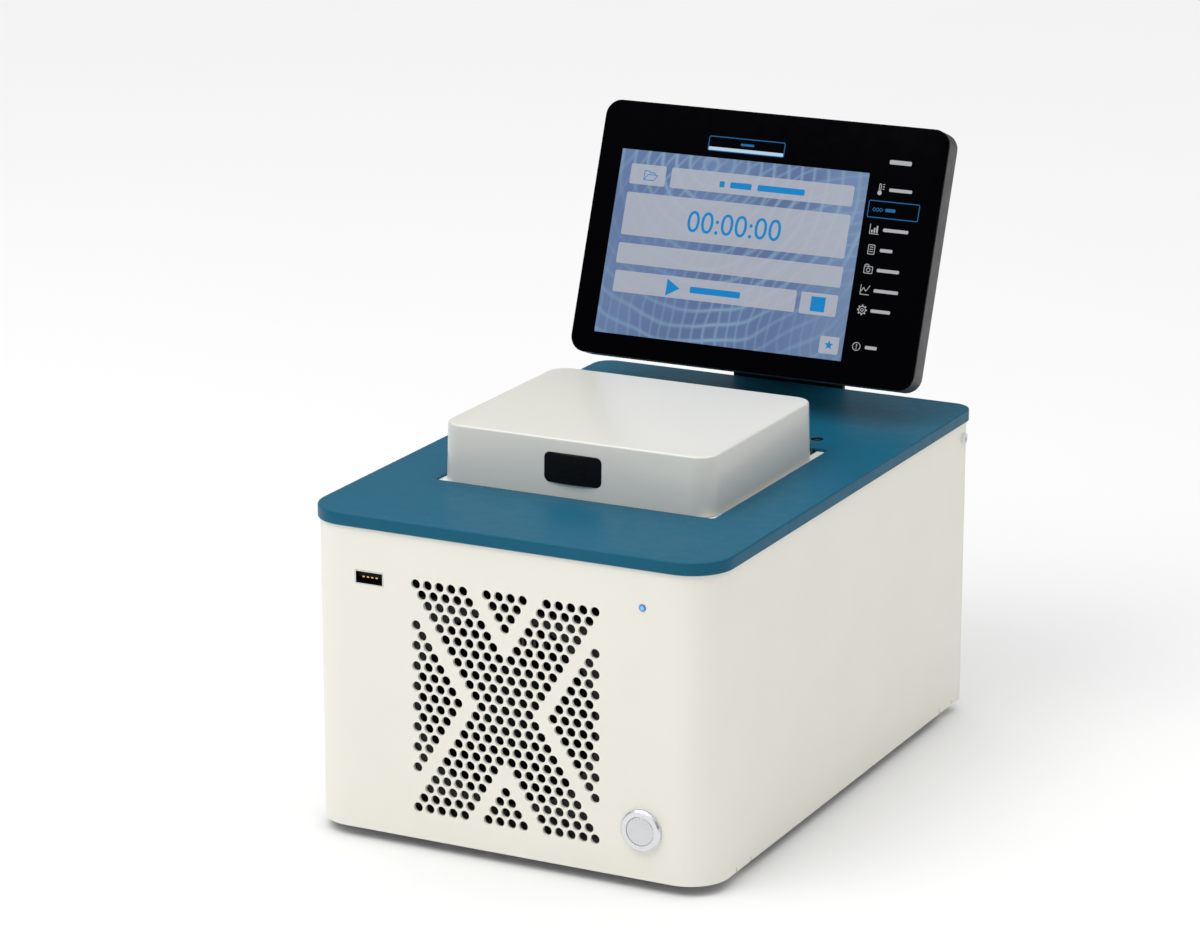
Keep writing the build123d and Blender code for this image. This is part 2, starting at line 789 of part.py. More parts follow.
# Power button: flanged metal body, its nut, the cap that travels, its spring and the switch behind it
flange_y = case_front_y - button_flange_thickness
cap_rear_y = flange_y + power_cap_height
barrel_rear_y = case_front_y + power_barrel_length
barrel_floor = 2.0
stem_length = barrel_rear_y - cap_rear_y

with BuildPart() as power_bezel:
    with BuildSketch(Plane.XZ.offset(-flange_y)):
        with Locations((power_x, power_z)):
            Circle(power_flange_radius)
    extrude(amount=-button_flange_thickness)
    chamfer(power_bezel.edges().sort_by(Axis.Y)[0], 0.7)
    with BuildSketch(Plane.XZ.offset(-case_front_y)):
        with Locations((power_x, power_z)):
            Circle(power_barrel_radius)
    extrude(amount=-power_barrel_length)
    with BuildSketch(Plane.XZ.offset(-flange_y)):
        with Locations((power_x, power_z)):
            Circle(power_cap_radius + running_gap)
    extrude(amount=-(barrel_rear_y - barrel_floor - flange_y), mode=Mode.SUBTRACT)
    with BuildSketch(Plane.XZ.offset(-barrel_rear_y)):
        with Locations((power_x, power_z)):
            Circle(power_stem_radius + running_gap)
    extrude(amount=barrel_floor, mode=Mode.SUBTRACT)
power_bezel.part.label = "power_bezel"
export_step(power_bezel.part, "parts/power_bezel.step")

with BuildPart() as power_nut:
    with BuildSketch(Plane.XZ.offset(-case_inner_y)):
        with Locations((power_x, power_z)):
            RegularPolygon(power_barrel_radius + 2.2, 6, major_radius=False)
            Circle(power_barrel_radius + thread_gap, mode=Mode.SUBTRACT)
    extrude(amount=-power_nut_thickness)
power_nut.part.label = "power_nut"
export_step(power_nut.part, "parts/power_nut.step")

with BuildPart() as power_cap:
    with BuildSketch(Plane.XZ.offset(-flange_y)):
        with Locations((power_x, power_z)):
            Circle(power_cap_radius)
    extrude(amount=-power_cap_height)
    fillet(power_cap.edges().sort_by(Axis.Y)[0], 0.4)
    with BuildSketch(Plane.XZ.offset(-cap_rear_y)):
        with Locations((power_x, power_z)):
            Circle(power_stem_radius)
    extrude(amount=-stem_length)
power_cap.part.label = "power_cap"
export_step(power_cap.part, "parts/power_cap.step")

power_spring_length = barrel_rear_y - barrel_floor - cap_rear_y
power_spring_coil = compression_spring(
    power_spring_length, power_stem_radius + spring_wire, spring_wire * 0.8, spring_turns
)

with BuildPart() as power_spring:
    with Locations(Location((power_x, cap_rear_y, power_z), (-90, 0, 0))):
        add(power_spring_coil)
power_spring.part.label = "power_spring"
export_step(power_spring.part, "parts/power_spring.step")

switch_y = barrel_rear_y
switch_depth = 12.0

with BuildPart() as power_switch:
    with BuildSketch(Plane.XZ.offset(-switch_y)):
        with Locations((power_x, power_z)):
            Circle(power_barrel_radius - 0.6)
    extrude(amount=-switch_depth)
    with BuildSketch(Plane.XZ.offset(-switch_y)):
        with Locations((power_x, power_z)):
            Circle(power_stem_radius + moving_gap)
    extrude(amount=-(power_travel + 1.0), mode=Mode.SUBTRACT)
    with BuildSketch(Plane.XZ.offset(-switch_y - switch_depth)):
        with Locations((power_x, power_z)):
            with GridLocations(6.0, 6.0, 2, 2):
                Rectangle(2.0, 0.5)
    extrude(amount=-5.0)
power_switch.part.label = "power_switch"
export_step(power_switch.part, "parts/power_switch.step")

# Moulded frame: fills the plate's opening level with it, with a window for the block,
# a slot for the lid's hook, pockets for the hinge and a skirt round the block
window_half_x = block_length / 2 + frame_window_margin
window_half_y = block_depth / 2 + frame_window_margin
skirt_inner_x = block_length / 2 + block_flange_overhang + frame_skirt_gap
skirt_inner_y = block_depth / 2 + block_flange_overhang + frame_skirt_gap
skirt_outer_x = skirt_inner_x + frame_skirt_wall
skirt_outer_y = skirt_inner_y + frame_skirt_wall
frame_bottom_z = case_top_z - frame_flange_thickness
skirt_bottom_z = sink_top_z + seal_height
keeper_top_z = frame_top_z - keeper_cover
keeper_front_y = opening_front_y + keeper_front_gap
keeper_rear_y = keeper_front_y + keeper_depth
hook_slot_half = hook_width / 2 + 1.5
hook_slot_rear_y = block_y - skirt_outer_y - 0.2
pocket_front_y = lid_rear_y - 0.4
pocket_rear_y = opening_rear_y + frame_flange

with BuildPart() as block_frame:
    with BuildSketch(Plane.XY.offset(case_top_z)):
        with Locations((0, opening_mid_y)):
            RectangleRounded(2 * (opening_half - fit), opening_depth - 2 * fit, opening_radius)
    extrude(amount=frame_top_z - case_top_z)
    with BuildSketch(Plane.XY.offset(frame_bottom_z)):
        with Locations((0, opening_mid_y)):
            Rectangle(2 * (opening_half + frame_flange), opening_depth + 2 * frame_flange)
    extrude(amount=frame_flange_thickness)
    with BuildSketch(Plane.XY.offset(skirt_bottom_z)):
        with Locations((0, block_y)):
            RectangleRounded(2 * skirt_outer_x, 2 * skirt_outer_y, 3.0)
    extrude(amount=frame_bottom_z - skirt_bottom_z)
    with BuildSketch(Plane.XY.offset(skirt_bottom_z)):
        with Locations((0, block_y)):
            RectangleRounded(2 * skirt_inner_x, 2 * skirt_inner_y, 2.0)
    extrude(amount=frame_bottom_z - skirt_bottom_z, mode=Mode.SUBTRACT)
    with BuildSketch(Plane.XY.offset(frame_bottom_z)):
        with Locations((0, block_y)):
            RectangleRounded(2 * window_half_x, 2 * window_half_y, 3.0)
    extrude(amount=frame_top_z - frame_bottom_z, mode=Mode.SUBTRACT)
    with BuildSketch(Plane.XY.offset(frame_bottom_z)):
        with Locations((0, (keeper_front_y + hook_slot_rear_y) / 2)):
            Rectangle(2 * hook_slot_half, hook_slot_rear_y - keeper_front_y)
    extrude(amount=frame_top_z - frame_bottom_z, mode=Mode.SUBTRACT)
    with BuildSketch(Plane.XY.offset(frame_bottom_z)):
        with Locations((0, (keeper_front_y + keeper_rear_y) / 2)):
            Rectangle(keeper_width + 2 * fit, keeper_depth + fit)
    extrude(amount=keeper_top_z - frame_bottom_z, mode=Mode.SUBTRACT)
    with BuildSketch(Plane.XY.offset(frame_bottom_z)):
        for side in (-1, 1):
            pocket_x = side * (hinge_pocket_start + hinge_pocket_end) / 2
            with Locations((pocket_x, (pocket_front_y + pocket_rear_y) / 2)):
                Rectangle(hinge_pocket_width, pocket_rear_y - pocket_front_y)
        with Locations(*frame_screws):
            Circle(screw_radius + fit)
    extrude(amount=frame_top_z - frame_bottom_z, mode=Mode.SUBTRACT)
block_frame.part.label = "block_frame"
export_step(block_frame.part, "parts/block_frame.step")

# Keeper: a spring-steel strip in the frame that the lid's hook snaps under
with BuildPart() as latch_keeper:
    with BuildSketch(Plane.XY.offset(keeper_top_z - keeper_thickness)):
        with Locations((0, (keeper_front_y + keeper_rear_y) / 2)):
            Rectangle(keeper_width, keeper_depth)
    extrude(amount=keeper_thickness)
    chamfer(latch_keeper.edges().filter_by(Axis.X).group_by(Axis.Y)[-1].sort_by(Axis.Z)[-1], 0.8)
latch_keeper.part.label = "latch_keeper"
export_step(latch_keeper.part, "parts/latch_keeper.step")

# Sample block: 96 conical wells in a flanged metal block
block_centre_z = block_bottom_z + block_flange_height

with BuildPart() as sample_block:
    with BuildSketch(Plane.XY.offset(block_bottom_z)):
        with Locations((0, block_y)):
            RectangleRounded(
                block_length + 2 * block_flange_overhang, block_depth + 2 * block_flange_overhang, 3.0
            )
    extrude(amount=block_flange_height)
    with BuildSketch(Plane.XY.offset(block_centre_z)):
        with Locations((0, block_y)):
            RectangleRounded(block_length, block_depth, 3.0)
    extrude(amount=block_top_z - block_centre_z)
    chamfer(sample_block.faces().sort_by(Axis.Z)[-1].edges(), 0.8)
    with Locations((0, block_y, block_top_z)):
        with GridLocations(well_pitch, well_pitch, well_columns, well_rows):
            Cone(well_tip_radius, well_radius, well_depth, align=CENTRE_TOP, mode=Mode.SUBTRACT)
sample_block.part.label = "sample_block"
export_step(sample_block.part, "parts/sample_block.step")

# Seal between the frame's skirt and the heat sink
with BuildPart() as block_seal:
    with BuildSketch(Plane.XY.offset(sink_top_z)):
        with Locations((0, block_y)):
            RectangleRounded(2 * skirt_outer_x, 2 * skirt_outer_y, 3.0)
            RectangleRounded(2 * skirt_inner_x, 2 * skirt_inner_y, 2.0, mode=Mode.SUBTRACT)
    extrude(amount=seal_height)
block_seal.part.label = "block_seal"
export_step(block_seal.part, "parts/block_seal.step")

# Six thermoelectric modules between the block and the heat sink
with BuildPart() as peltier_modules:
    with BuildSketch(Plane.XY.offset(sink_top_z)):
        with Locations((0, block_y)):
            with GridLocations(peltier_pitch_x, peltier_pitch_y, 3, 2):
                Rectangle(peltier_size, peltier_size)
    extrude(amount=peltier_thickness)
peltier_modules.part.label = "peltier_modules"
export_step(peltier_modules.part, "parts/peltier_modules.step")

# Heat sink: a thick base with straight fins along the air's path
fin_pitch = (2 * (sink_half - fin_margin) - fin_thickness) / (fin_count - 1)

with BuildPart() as heat_sink:
    with BuildSketch(Plane.XZ.offset(-sink_front_y)):
        with Locations((0, (sink_top_z + sink_bottom_z) / 2)):
            Rectangle(2 * sink_half, sink_base)
        with Locations((0, (sink_bottom_z + fin_bottom_z) / 2)):
            with GridLocations(fin_pitch, fin_height, fin_count, 1):
                Rectangle(fin_thickness, fin_height)
    extrude(amount=-(sink_rear_y - sink_front_y))
    with BuildSketch(Plane.XY.offset(sink_top_z)):
        with Locations(*sink_posts):
            Circle(screw_radius + thread_gap)
    extrude(amount=-sink_base / 2, mode=Mode.SUBTRACT)
heat_sink.part.label = "heat_sink"
export_step(heat_sink.part, "parts/heat_sink.step")

# Hexagonal standoffs that hang the heat sink from the top plate, with a stud at each end
with BuildPart() as sink_standoffs:
    with BuildSketch(Plane.XY.offset(sink_top_z)):
        with Locations(*sink_posts):
            RegularPolygon(standoff_radius, 6)
    extrude(amount=case_top_z - sink_top_z)
    with BuildSketch(Plane.XY.offset(sink_top_z - sink_base / 2)):
        with Locations(*sink_posts):
            Circle(screw_radius)
    extrude(amount=case_top_z - sink_top_z + sink_base / 2 + plate_screw_depth)
sink_standoffs.part.label = "sink_standoffs"
export_step(sink_standoffs.part, "parts/sink_standoffs.step")

# Fan behind the vent: gasket, frame with motor struts, rotor and studs
gasket_rear_y = case_inner_y + fan_gasket_thickness
fan_rear_y = gasket_rear_y + fan_depth
fan_centre = (0, vent_centre_z)
fan_corner_offsets = corners(fan_hole_offset, fan_hole_offset)
stud_places = [(x, vent_centre_z + z) for x, z in fan_corner_offsets]
stud_hole_radius = screw_radius + fit

with BuildPart() as fan_gasket:
    with BuildSketch(Plane.XZ.offset(-case_inner_y)):
        with Locations(fan_centre):
            RectangleRounded(fan_size, fan_size, 4.0)
            Circle(fan_bore_radius, mode=Mode.SUBTRACT)
        with Locations(*stud_places):
            Circle(stud_hole_radius, mode=Mode.SUBTRACT)
    extrude(amount=-fan_gasket_thickness)
fan_gasket.part.label = "fan_gasket"
export_step(fan_gasket.part, "parts/fan_gasket.step")

with BuildPart() as fan_frame:
    for flange_face_y in (gasket_rear_y, fan_rear_y - fan_flange):
        with BuildSketch(Plane.XZ.offset(-flange_face_y)):
            with Locations(fan_centre):
                RectangleRounded(fan_size, fan_size, 4.0)
            with Locations(*stud_places):
                Circle(stud_hole_radius, mode=Mode.SUBTRACT)
        extrude(amount=-fan_flange)
    with BuildSketch(Plane.XZ.offset(-gasket_rear_y)):
        with Locations(fan_centre):
            Circle(fan_bore_radius + fan_barrel_wall)
    extrude(amount=-fan_depth)
    with BuildSketch(Plane.XZ.offset(-gasket_rear_y)):
        with Locations(fan_centre):
            Circle(fan_bore_radius)
    extrude(amount=-fan_depth, mode=Mode.SUBTRACT)
    with BuildSketch(Plane.XZ.offset(-fan_rear_y)):
        with Locations(fan_centre):
            Circle(fan_hub_radius)
            with PolarLocations((fan_hub_radius + fan_bore_radius) / 2, 4, start_angle=45):
                Rectangle(fan_bore_radius - fan_hub_radius + 2 * fan_barrel_wall, fan_strut)
    extrude(amount=fan_cup_depth)
    with BuildSketch(Plane.XZ.offset(-(fan_rear_y - fan_cup_depth))):
        with Locations(fan_centre):
            Circle(screw_radius)
    extrude(amount=fan_hub_depth / 2)
fan_frame.part.label = "fan_frame"
export_step(fan_frame.part, "parts/fan_frame.step")

hub_front_y = fan_rear_y - fan_cup_depth - moving_gap - fan_hub_depth
blade_mid_y = hub_front_y + fan_hub_depth / 2


def fan_blade():
    """Returns one twisted blade that reaches out along +X from a fan axis along Y."""
    with BuildPart(mode=Mode.PRIVATE) as blade:
        for reach, pitch in ((fan_hub_radius - 1.0, blade_root_pitch), (fan_blade_radius, blade_tip_pitch)):
            with BuildSketch(Plane(origin=(reach, 0, 0), x_dir=(0, 1, 0), z_dir=(1, 0, 0))):
                Rectangle(fan_blade_chord, fan_blade_thickness, rotation=pitch)
        loft()
    return blade.part


with BuildPart() as fan_rotor:
    with BuildSketch(Plane.XZ.offset(-hub_front_y)):
        with Locations(fan_centre):
            Circle(fan_hub_radius)
    extrude(amount=-fan_hub_depth)
    fillet(fan_rotor.edges().sort_by(Axis.Y)[0], 1.5)
    one_blade = fan_blade()
    with Locations(
        *[
            Location((0, blade_mid_y, vent_centre_z), (0, turn * 360.0 / fan_blades, 0))
            for turn in range(fan_blades)
        ]
    ):
        add(one_blade)
    with BuildSketch(Plane.XZ.offset(-(hub_front_y + fan_hub_depth))):
        with Locations(fan_centre):
            Circle(screw_radius + running_gap)
    extrude(amount=fan_hub_depth / 2 + moving_gap, mode=Mode.SUBTRACT)
fan_rotor.part.label = "fan_rotor"
export_step(fan_rotor.part, "parts/fan_rotor.step")

stud_nut_y = gasket_rear_y + fan_flange

with BuildPart() as fan_studs:
    with BuildSketch(Plane.XZ.offset(-case_inner_y)):
        with Locations(*stud_places):
            Circle(screw_radius)
    extrude(amount=-(stud_nut_y - case_inner_y + nut_height + 1.0))
    with BuildSketch(Plane.XZ.offset(-stud_nut_y)):
        with Locations(*stud_places):
            RegularPolygon(nut_radius, 6)
    extrude(amount=-nut_height)
fan_studs.part.label = "fan_studs"
export_step(fan_studs.part, "parts/fan_studs.step")

# Duct: carries the air from the round fan to the wide, low fin stack
duct_fin_z = (sink_bottom_z + fin_bottom_z) / 2
duct_inlet_half = fan_size / 2

with BuildPart() as air_duct:
    with BuildSketch(Plane.XZ.offset(-fan_rear_y)):
        with Locations(fan_centre):
            RectangleRounded(2 * duct_inlet_half, 2 * duct_inlet_half, 6.0)
    with BuildSketch(Plane.XZ.offset(-sink_front_y)):
        with Locations((0, duct_fin_z)):
            RectangleRounded(2 * sink_half, fin_height, 3.0)
    loft()
    with BuildSketch(Plane.XZ.offset(-fan_rear_y)):
        with Locations(fan_centre):
            RectangleRounded(2 * (duct_inlet_half - duct_wall), 2 * (duct_inlet_half - duct_wall), 5.0)
    with BuildSketch(Plane.XZ.offset(-sink_front_y)):
        with Locations((0, duct_fin_z)):
            RectangleRounded(2 * (sink_half - duct_wall), fin_height - 2 * duct_wall, 2.0)
    loft(mode=Mode.SUBTRACT)
air_duct.part.label = "air_duct"
export_step(air_duct.part, "parts/air_duct.step")

# Power supply: a perforated steel box on the base
supply_rear_y = case_rear_y - supply_rear_gap
supply_mid_y = supply_rear_y - supply_depth / 2

with BuildPart() as power_supply:
    with BuildSketch(Plane.XY.offset(base_top_z)):
        with Locations((supply_x, supply_mid_y)):
            RectangleRounded(supply_width, supply_depth, 1.0)
    extrude(amount=supply_height)
    with BuildSketch(Plane.XY.offset(base_top_z + supply_height)):
        with Locations((supply_x, supply_mid_y)):
            with GridLocations(supply_width / 3, 7.0, 2, 10):
                SlotOverall(supply_width / 4, 3.0)
    extrude(amount=-1.5, mode=Mode.SUBTRACT)
power_supply.part.label = "power_supply"
export_step(power_supply.part, "parts/power_supply.step")

# Larger components of the control board
with BuildPart() as board_components:
    with BuildSketch(Plane.XY.offset(control_top_z)):
        with Locations((control_x - 10, control_y + 8)):
            Rectangle(22, 22)
        with Locations((control_x + 20, control_y + 14)):
            Rectangle(14, 10)
    extrude(amount=2.0)
    with Locations((control_x + 20, control_y - 20, control_top_z)):
        with GridLocations(13.0, 14.0, 3, 2):
            Cylinder(5.0, 14.0, align=CENTRE_BOTTOM)
    with BuildSketch(Plane.XY.offset(control_top_z)):
        with Locations((control_x - 40, control_y - 16)):
            with GridLocations(14.0, 16.0, 1, 3):
                Rectangle(8.0, 13.0)
    extrude(amount=9.0)
board_components.part.label = "board_components"
export_step(board_components.part, "parts/board_components.step")

# Mains inlet: flanged plastic socket with three blades
inlet_front_y = case_rear_y + inlet_flange_thickness
cavity_floor_y = inlet_front_y - inlet_cavity_depth
blade_length = inlet_cavity_depth - 3.0
blade_spacing = 14.0
blade_thickness = 2.0
blade_height = 4.0
blade_rise = 1.0
blade_places = [(inlet_x + side * blade_spacing / 2, inlet_z + blade_rise) for side in (-1, 1)]
blade_places += [(inlet_x, inlet_z + blade_rise - blade_height)]

with BuildPart() as power_inlet:
    with BuildSketch(Plane.XZ.offset(-inlet_front_y)):
        with Locations((inlet_x, inlet_z)):
            RectangleRounded(inlet_flange_width, inlet_flange_height, 2.0)
    extrude(amount=inlet_flange_thickness)
    with BuildSketch(Plane.XZ.offset(-case_rear_y)):
        with Locations((inlet_x, inlet_z)):
            Rectangle(inlet_body_width, inlet_body_height)
    extrude(amount=inlet_body_depth)
    with BuildSketch(Plane.XZ.offset(-inlet_front_y)) as cavity_sketch:
        with Locations((inlet_x, inlet_z)):
            Rectangle(inlet_cavity_width, inlet_cavity_height)
        chamfer(cavity_sketch.vertices().group_by(Axis.Y)[0], 4.5)
    extrude(amount=inlet_cavity_depth, mode=Mode.SUBTRACT)
power_inlet.part.label = "power_inlet"
export_step(power_inlet.part, "parts/power_inlet.step")

with BuildPart() as inlet_blades:
    with BuildSketch(Plane.XZ.offset(-cavity_floor_y)):
        with Locations(*blade_places):
            Rectangle(blade_thickness, blade_height)
    extrude(amount=-blade_length)
inlet_blades.part.label = "inlet_blades"
export_step(inlet_blades.part, "parts/inlet_blades.step")

# Lid shell: drafted moulding with a soft top edge, two hinge knuckles, a hole for the latch and posts
cheek_x = hook_width / 2 + cheek_gap
post_length = 8.0
lid_posts = [
    (side * lid_post_x, y)
    for side in (-1, 1)
    for y in (lid_front_y + lid_post_end_inset, lid_rear_y - lid_post_end_inset)
]
knuckle_outer_x = hinge_bracket_x - hinge_bracket_width / 2 - moving_gap
knuckle_inner_x = knuckle_outer_x - hinge_knuckle_width

with BuildPart() as lid_shell:
    with BuildSketch(Plane.XY.offset(lid_bottom_z)):
        with Locations((0, lid_mid_y)):
            RectangleRounded(2 * lid_half, lid_depth, lid_radius)
    extrude(amount=lid_body_height, taper=lid_draft)
    fillet(lid_shell.faces().sort_by(Axis.Z)[-1].edges(), lid_edge_round)
    with BuildSketch(Plane.XY.offset(lid_bottom_z)):
        with Locations((0, lid_mid_y)):
            RectangleRounded(
                2 * (lid_half - lid_wall), lid_depth - 2 * lid_wall, lid_radius - lid_wall
            )
    extrude(amount=lid_body_height - lid_wall, taper=lid_draft, mode=Mode.SUBTRACT)
    with BuildSketch(Plane.XY.offset(lid_roof_z + 0.5)):
        with Locations(*lid_posts):
            Circle(lid_post_radius)
    extrude(amount=-post_length - 0.5)
    with BuildSketch(Plane.XY.offset(lid_roof_z)):
        with Locations(*lid_posts):
            Circle(screw_radius + thread_gap)
    extrude(amount=-post_length, mode=Mode.SUBTRACT)
    for side in (-1, 1):
        with BuildSketch(Plane.YZ.offset(side * knuckle_inner_x)):
            with Locations((hinge_axis_y, hinge_axis_z)):
                Circle(hinge_eye_radius)
            with Locations((hinge_axis_y, hinge_axis_z)):
                Rectangle(
                    hinge_axis_y - lid_rear_y + lid_wall,
                    2 * hinge_eye_radius,
                    align=(Align.MAX, Align.CENTER),
                )
            with Locations((hinge_axis_y, lid_bottom_z)):
                Rectangle(8 * hinge_eye_radius, 10.0, align=(Align.CENTER, Align.MAX), mode=Mode.SUBTRACT)
            with Locations((hinge_axis_y, hinge_axis_z)):
                Circle(hinge_eye_radius)
        extrude(amount=side * hinge_knuckle_width)
        with BuildSketch(Plane.YZ.offset(side * knuckle_inner_x)):
            with Locations((hinge_axis_y, hinge_axis_z)):
                Circle(hinge_pin_radius + running_gap)
        extrude(amount=side * hinge_knuckle_width, mode=Mode.SUBTRACT)
    with BuildSketch(Plane.XZ.offset(-lid_front_y)):
        with Locations((0, latch_centre_z)):
            RectangleRounded(latch_width + 2 * fit, latch_height + 2 * fit, latch_radius + fit)
    extrude(amount=-2 * lid_wall, mode=Mode.SUBTRACT)
    for side in (-1, 1):
        with BuildSketch(Plane.YZ.offset(side * cheek_x)):
            with Locations((hook_pivot_y, lid_roof_z)):
                Rectangle(
                    2 * hook_eye_radius, lid_roof_z - hook_pivot_z, align=(Align.CENTER, Align.MAX)
                )
            with Locations((hook_pivot_y, hook_pivot_z)):
                Circle(hook_eye_radius)
                Circle(hook_pin_radius + thread_gap / 2, mode=Mode.SUBTRACT)
        extrude(amount=side * cheek_thickness)
lid_shell.part.label = "lid_shell"
export_step(lid_shell.part, "parts/lid_shell.step")

# Lid liner: closes the lid's underside round the heated plate, with walls that carry the inner plate
liner_bottom_z = lid_bottom_z + liner_gap
liner_top_z = liner_bottom_z + liner_thickness
carrier_z = plate_top_z + liner_wall_top
carrier_top_z = carrier_z + carrier_thickness
heater_half_x = heater_length / 2
heater_half_y = heater_depth / 2
liner_window_x = heater_half_x + heater_side_gap
liner_window_y = heater_half_y + heater_side_gap
liner_wall_x = liner_window_x + liner_thickness
liner_wall_y = liner_window_y + liner_thickness
liner_wall_radius = 3.0
liner_edge = lid_wall + fit + (liner_top_z - lid_bottom_z) * tan(radians(lid_draft))
post_foot_z = lid_roof_z - post_length
hook_opening_front_y = lid_front_y + lid_wall + 1.0
hook_opening_rear_y = hook_slot_rear_y

with BuildPart() as lid_liner:
    with BuildSketch(Plane.XY.offset(liner_bottom_z)):
        with Locations((0, lid_mid_y)):
            RectangleRounded(
                2 * (lid_half - liner_edge), lid_depth - 2 * liner_edge, lid_radius - liner_edge
            )
    extrude(amount=liner_thickness)
    with BuildSketch(Plane.XY.offset(liner_top_z)):
        with Locations((0, block_y)):
            RectangleRounded(2 * liner_wall_x, 2 * liner_wall_y, liner_wall_radius)
    extrude(amount=carrier_z - liner_top_z)
    with BuildSketch(Plane.XY.offset(liner_top_z)):
        with Locations(*lid_posts):
            Circle(lid_post_radius)
    extrude(amount=post_foot_z - liner_top_z)
    with BuildSketch(Plane.XY.offset(liner_bottom_z)):
        with Locations((0, block_y)):
            RectangleRounded(2 * liner_window_x, 2 * liner_window_y, 2.0)
        with Locations((0, (hook_opening_front_y + hook_opening_rear_y) / 2)):
            Rectangle(2 * hook_slot_half, hook_opening_rear_y - hook_opening_front_y)
    extrude(amount=carrier_z - liner_bottom_z, mode=Mode.SUBTRACT)
    with Locations(*[Location((x, y, liner_bottom_z), pointing_up) for x, y in lid_posts]):
        CounterSinkHole(
            screw_radius + fit,
            countersink_radius + thread_gap,
            depth=post_foot_z - liner_bottom_z,
            counter_sink_angle=countersink_angle,
        )
lid_liner.part.label = "lid_liner"
export_step(lid_liner.part, "parts/lid_liner.step")

lid_screw = countersunk_screw(lid_roof_z - 1.0 - liner_bottom_z)

with BuildPart() as lid_screws:
    with Locations(*[Location((x, y, liner_bottom_z), pointing_up) for x, y in lid_posts]):
        add(lid_screw)
lid_screws.part.label = "lid_screws"
export_step(lid_screws.part, "parts/lid_screws.step")

# Inner plate that rests on the liner's walls and guides the heated plate
guide_places = [(x, block_y + y) for x, y in corners(guide_x, guide_y)]

with BuildPart() as heater_carrier:
    with BuildSketch(Plane.XY.offset(carrier_z)):
        with Locations((0, block_y)):
            RectangleRounded(2 * liner_wall_x, 2 * liner_wall_y, liner_wall_radius)
        with Locations(*guide_places):
            Circle(guide_radius + fit, mode=Mode.SUBTRACT)
    extrude(amount=carrier_thickness)
heater_carrier.part.label = "heater_carrier"
export_step(heater_carrier.part, "parts/heater_carrier.step")

# Heated plate: presses on the tubes, floats on four guided springs
heater_z = plate_top_z + heater_rise
heater_top_z = heater_z + heater_thickness

with BuildPart() as heated_plate:
    with BuildSketch(Plane.XY.offset(heater_z)):
        with Locations((0, block_y)):
            RectangleRounded(heater_length, heater_depth, 2.0)
    extrude(amount=heater_thickness)
    chamfer(heated_plate.faces().sort_by(Axis.Z)[0].edges(), 0.6)
    with BuildSketch(Plane.XY.offset(heater_top_z)):
        with Locations(*guide_places):
            Circle(guide_radius + thread_gap)
    extrude(amount=-guide_depth, mode=Mode.SUBTRACT)
heated_plate.part.label = "heated_plate"
export_step(heated_plate.part, "parts/heated_plate.step")

with BuildPart() as heater_mat:
    with BuildSketch(Plane.XY.offset(heater_top_z)):
        with Locations((0, block_y)):
            RectangleRounded(heater_length - 6.0, heater_depth - 4.0, 2.0)
        with Locations(*guide_places):
            Circle(spring_radius + spring_wire + 0.6, mode=Mode.SUBTRACT)
    extrude(amount=heater_mat_thickness)
heater_mat.part.label = "heater_mat"
export_step(heater_mat.part, "parts/heater_mat.step")

with BuildPart() as plate_guides:
    with Locations(*[(x, y, heater_top_z - guide_depth) for x, y in guide_places]):
        Cylinder(guide_radius, carrier_top_z - heater_top_z + guide_depth, align=CENTRE_BOTTOM)
    with Locations(*[(x, y, carrier_top_z) for x, y in guide_places]):
        Cylinder(guide_head_radius, guide_head_height, align=CENTRE_BOTTOM)
plate_guides.part.label = "plate_guides"
export_step(plate_guides.part, "parts/plate_guides.step")

plate_spring_coil = compression_spring(carrier_z - heater_top_z, spring_radius, spring_wire, spring_turns)

with BuildPart() as plate_springs:
    with Locations(*[(x, y, heater_top_z) for x, y in guide_places]):
        add(plate_spring_coil)
plate_springs.part.label = "plate_springs"
export_step(plate_springs.part, "parts/plate_springs.step")

# Insulation over the inner plate, with room for the guides' heads
with BuildPart() as lid_insulation:
    with BuildSketch(Plane.XY.offset(carrier_top_z)):
        with Locations((0, block_y)):
            RectangleRounded(2 * liner_window_x - 4.0, 2 * liner_window_y - 2.0, 2.0)
        with Locations(*guide_places):
            Circle(guide_head_radius + 1.0, mode=Mode.SUBTRACT)
    extrude(amount=insulation_thickness)
lid_insulation.part.label = "lid_insulation"
export_step(lid_insulation.part, "parts/lid_insulation.step")

# Latch button: a barrel-fronted key with grip ridges, a rim behind the lid's wall and a nub for the hook
hook_front_y = hook_pivot_y - hook_eye_radius
latch_face_y = lid_front_y + (latch_centre_z - lid_bottom_z) * tan(radians(lid_draft))
latch_rear_y = lid_front_y + latch_depth
latch_travel = hook_lever * tan(radians(hook_swing))
bulge_radius = ((latch_width / 2) ** 2 + latch_bulge**2) / (2 * latch_bulge)

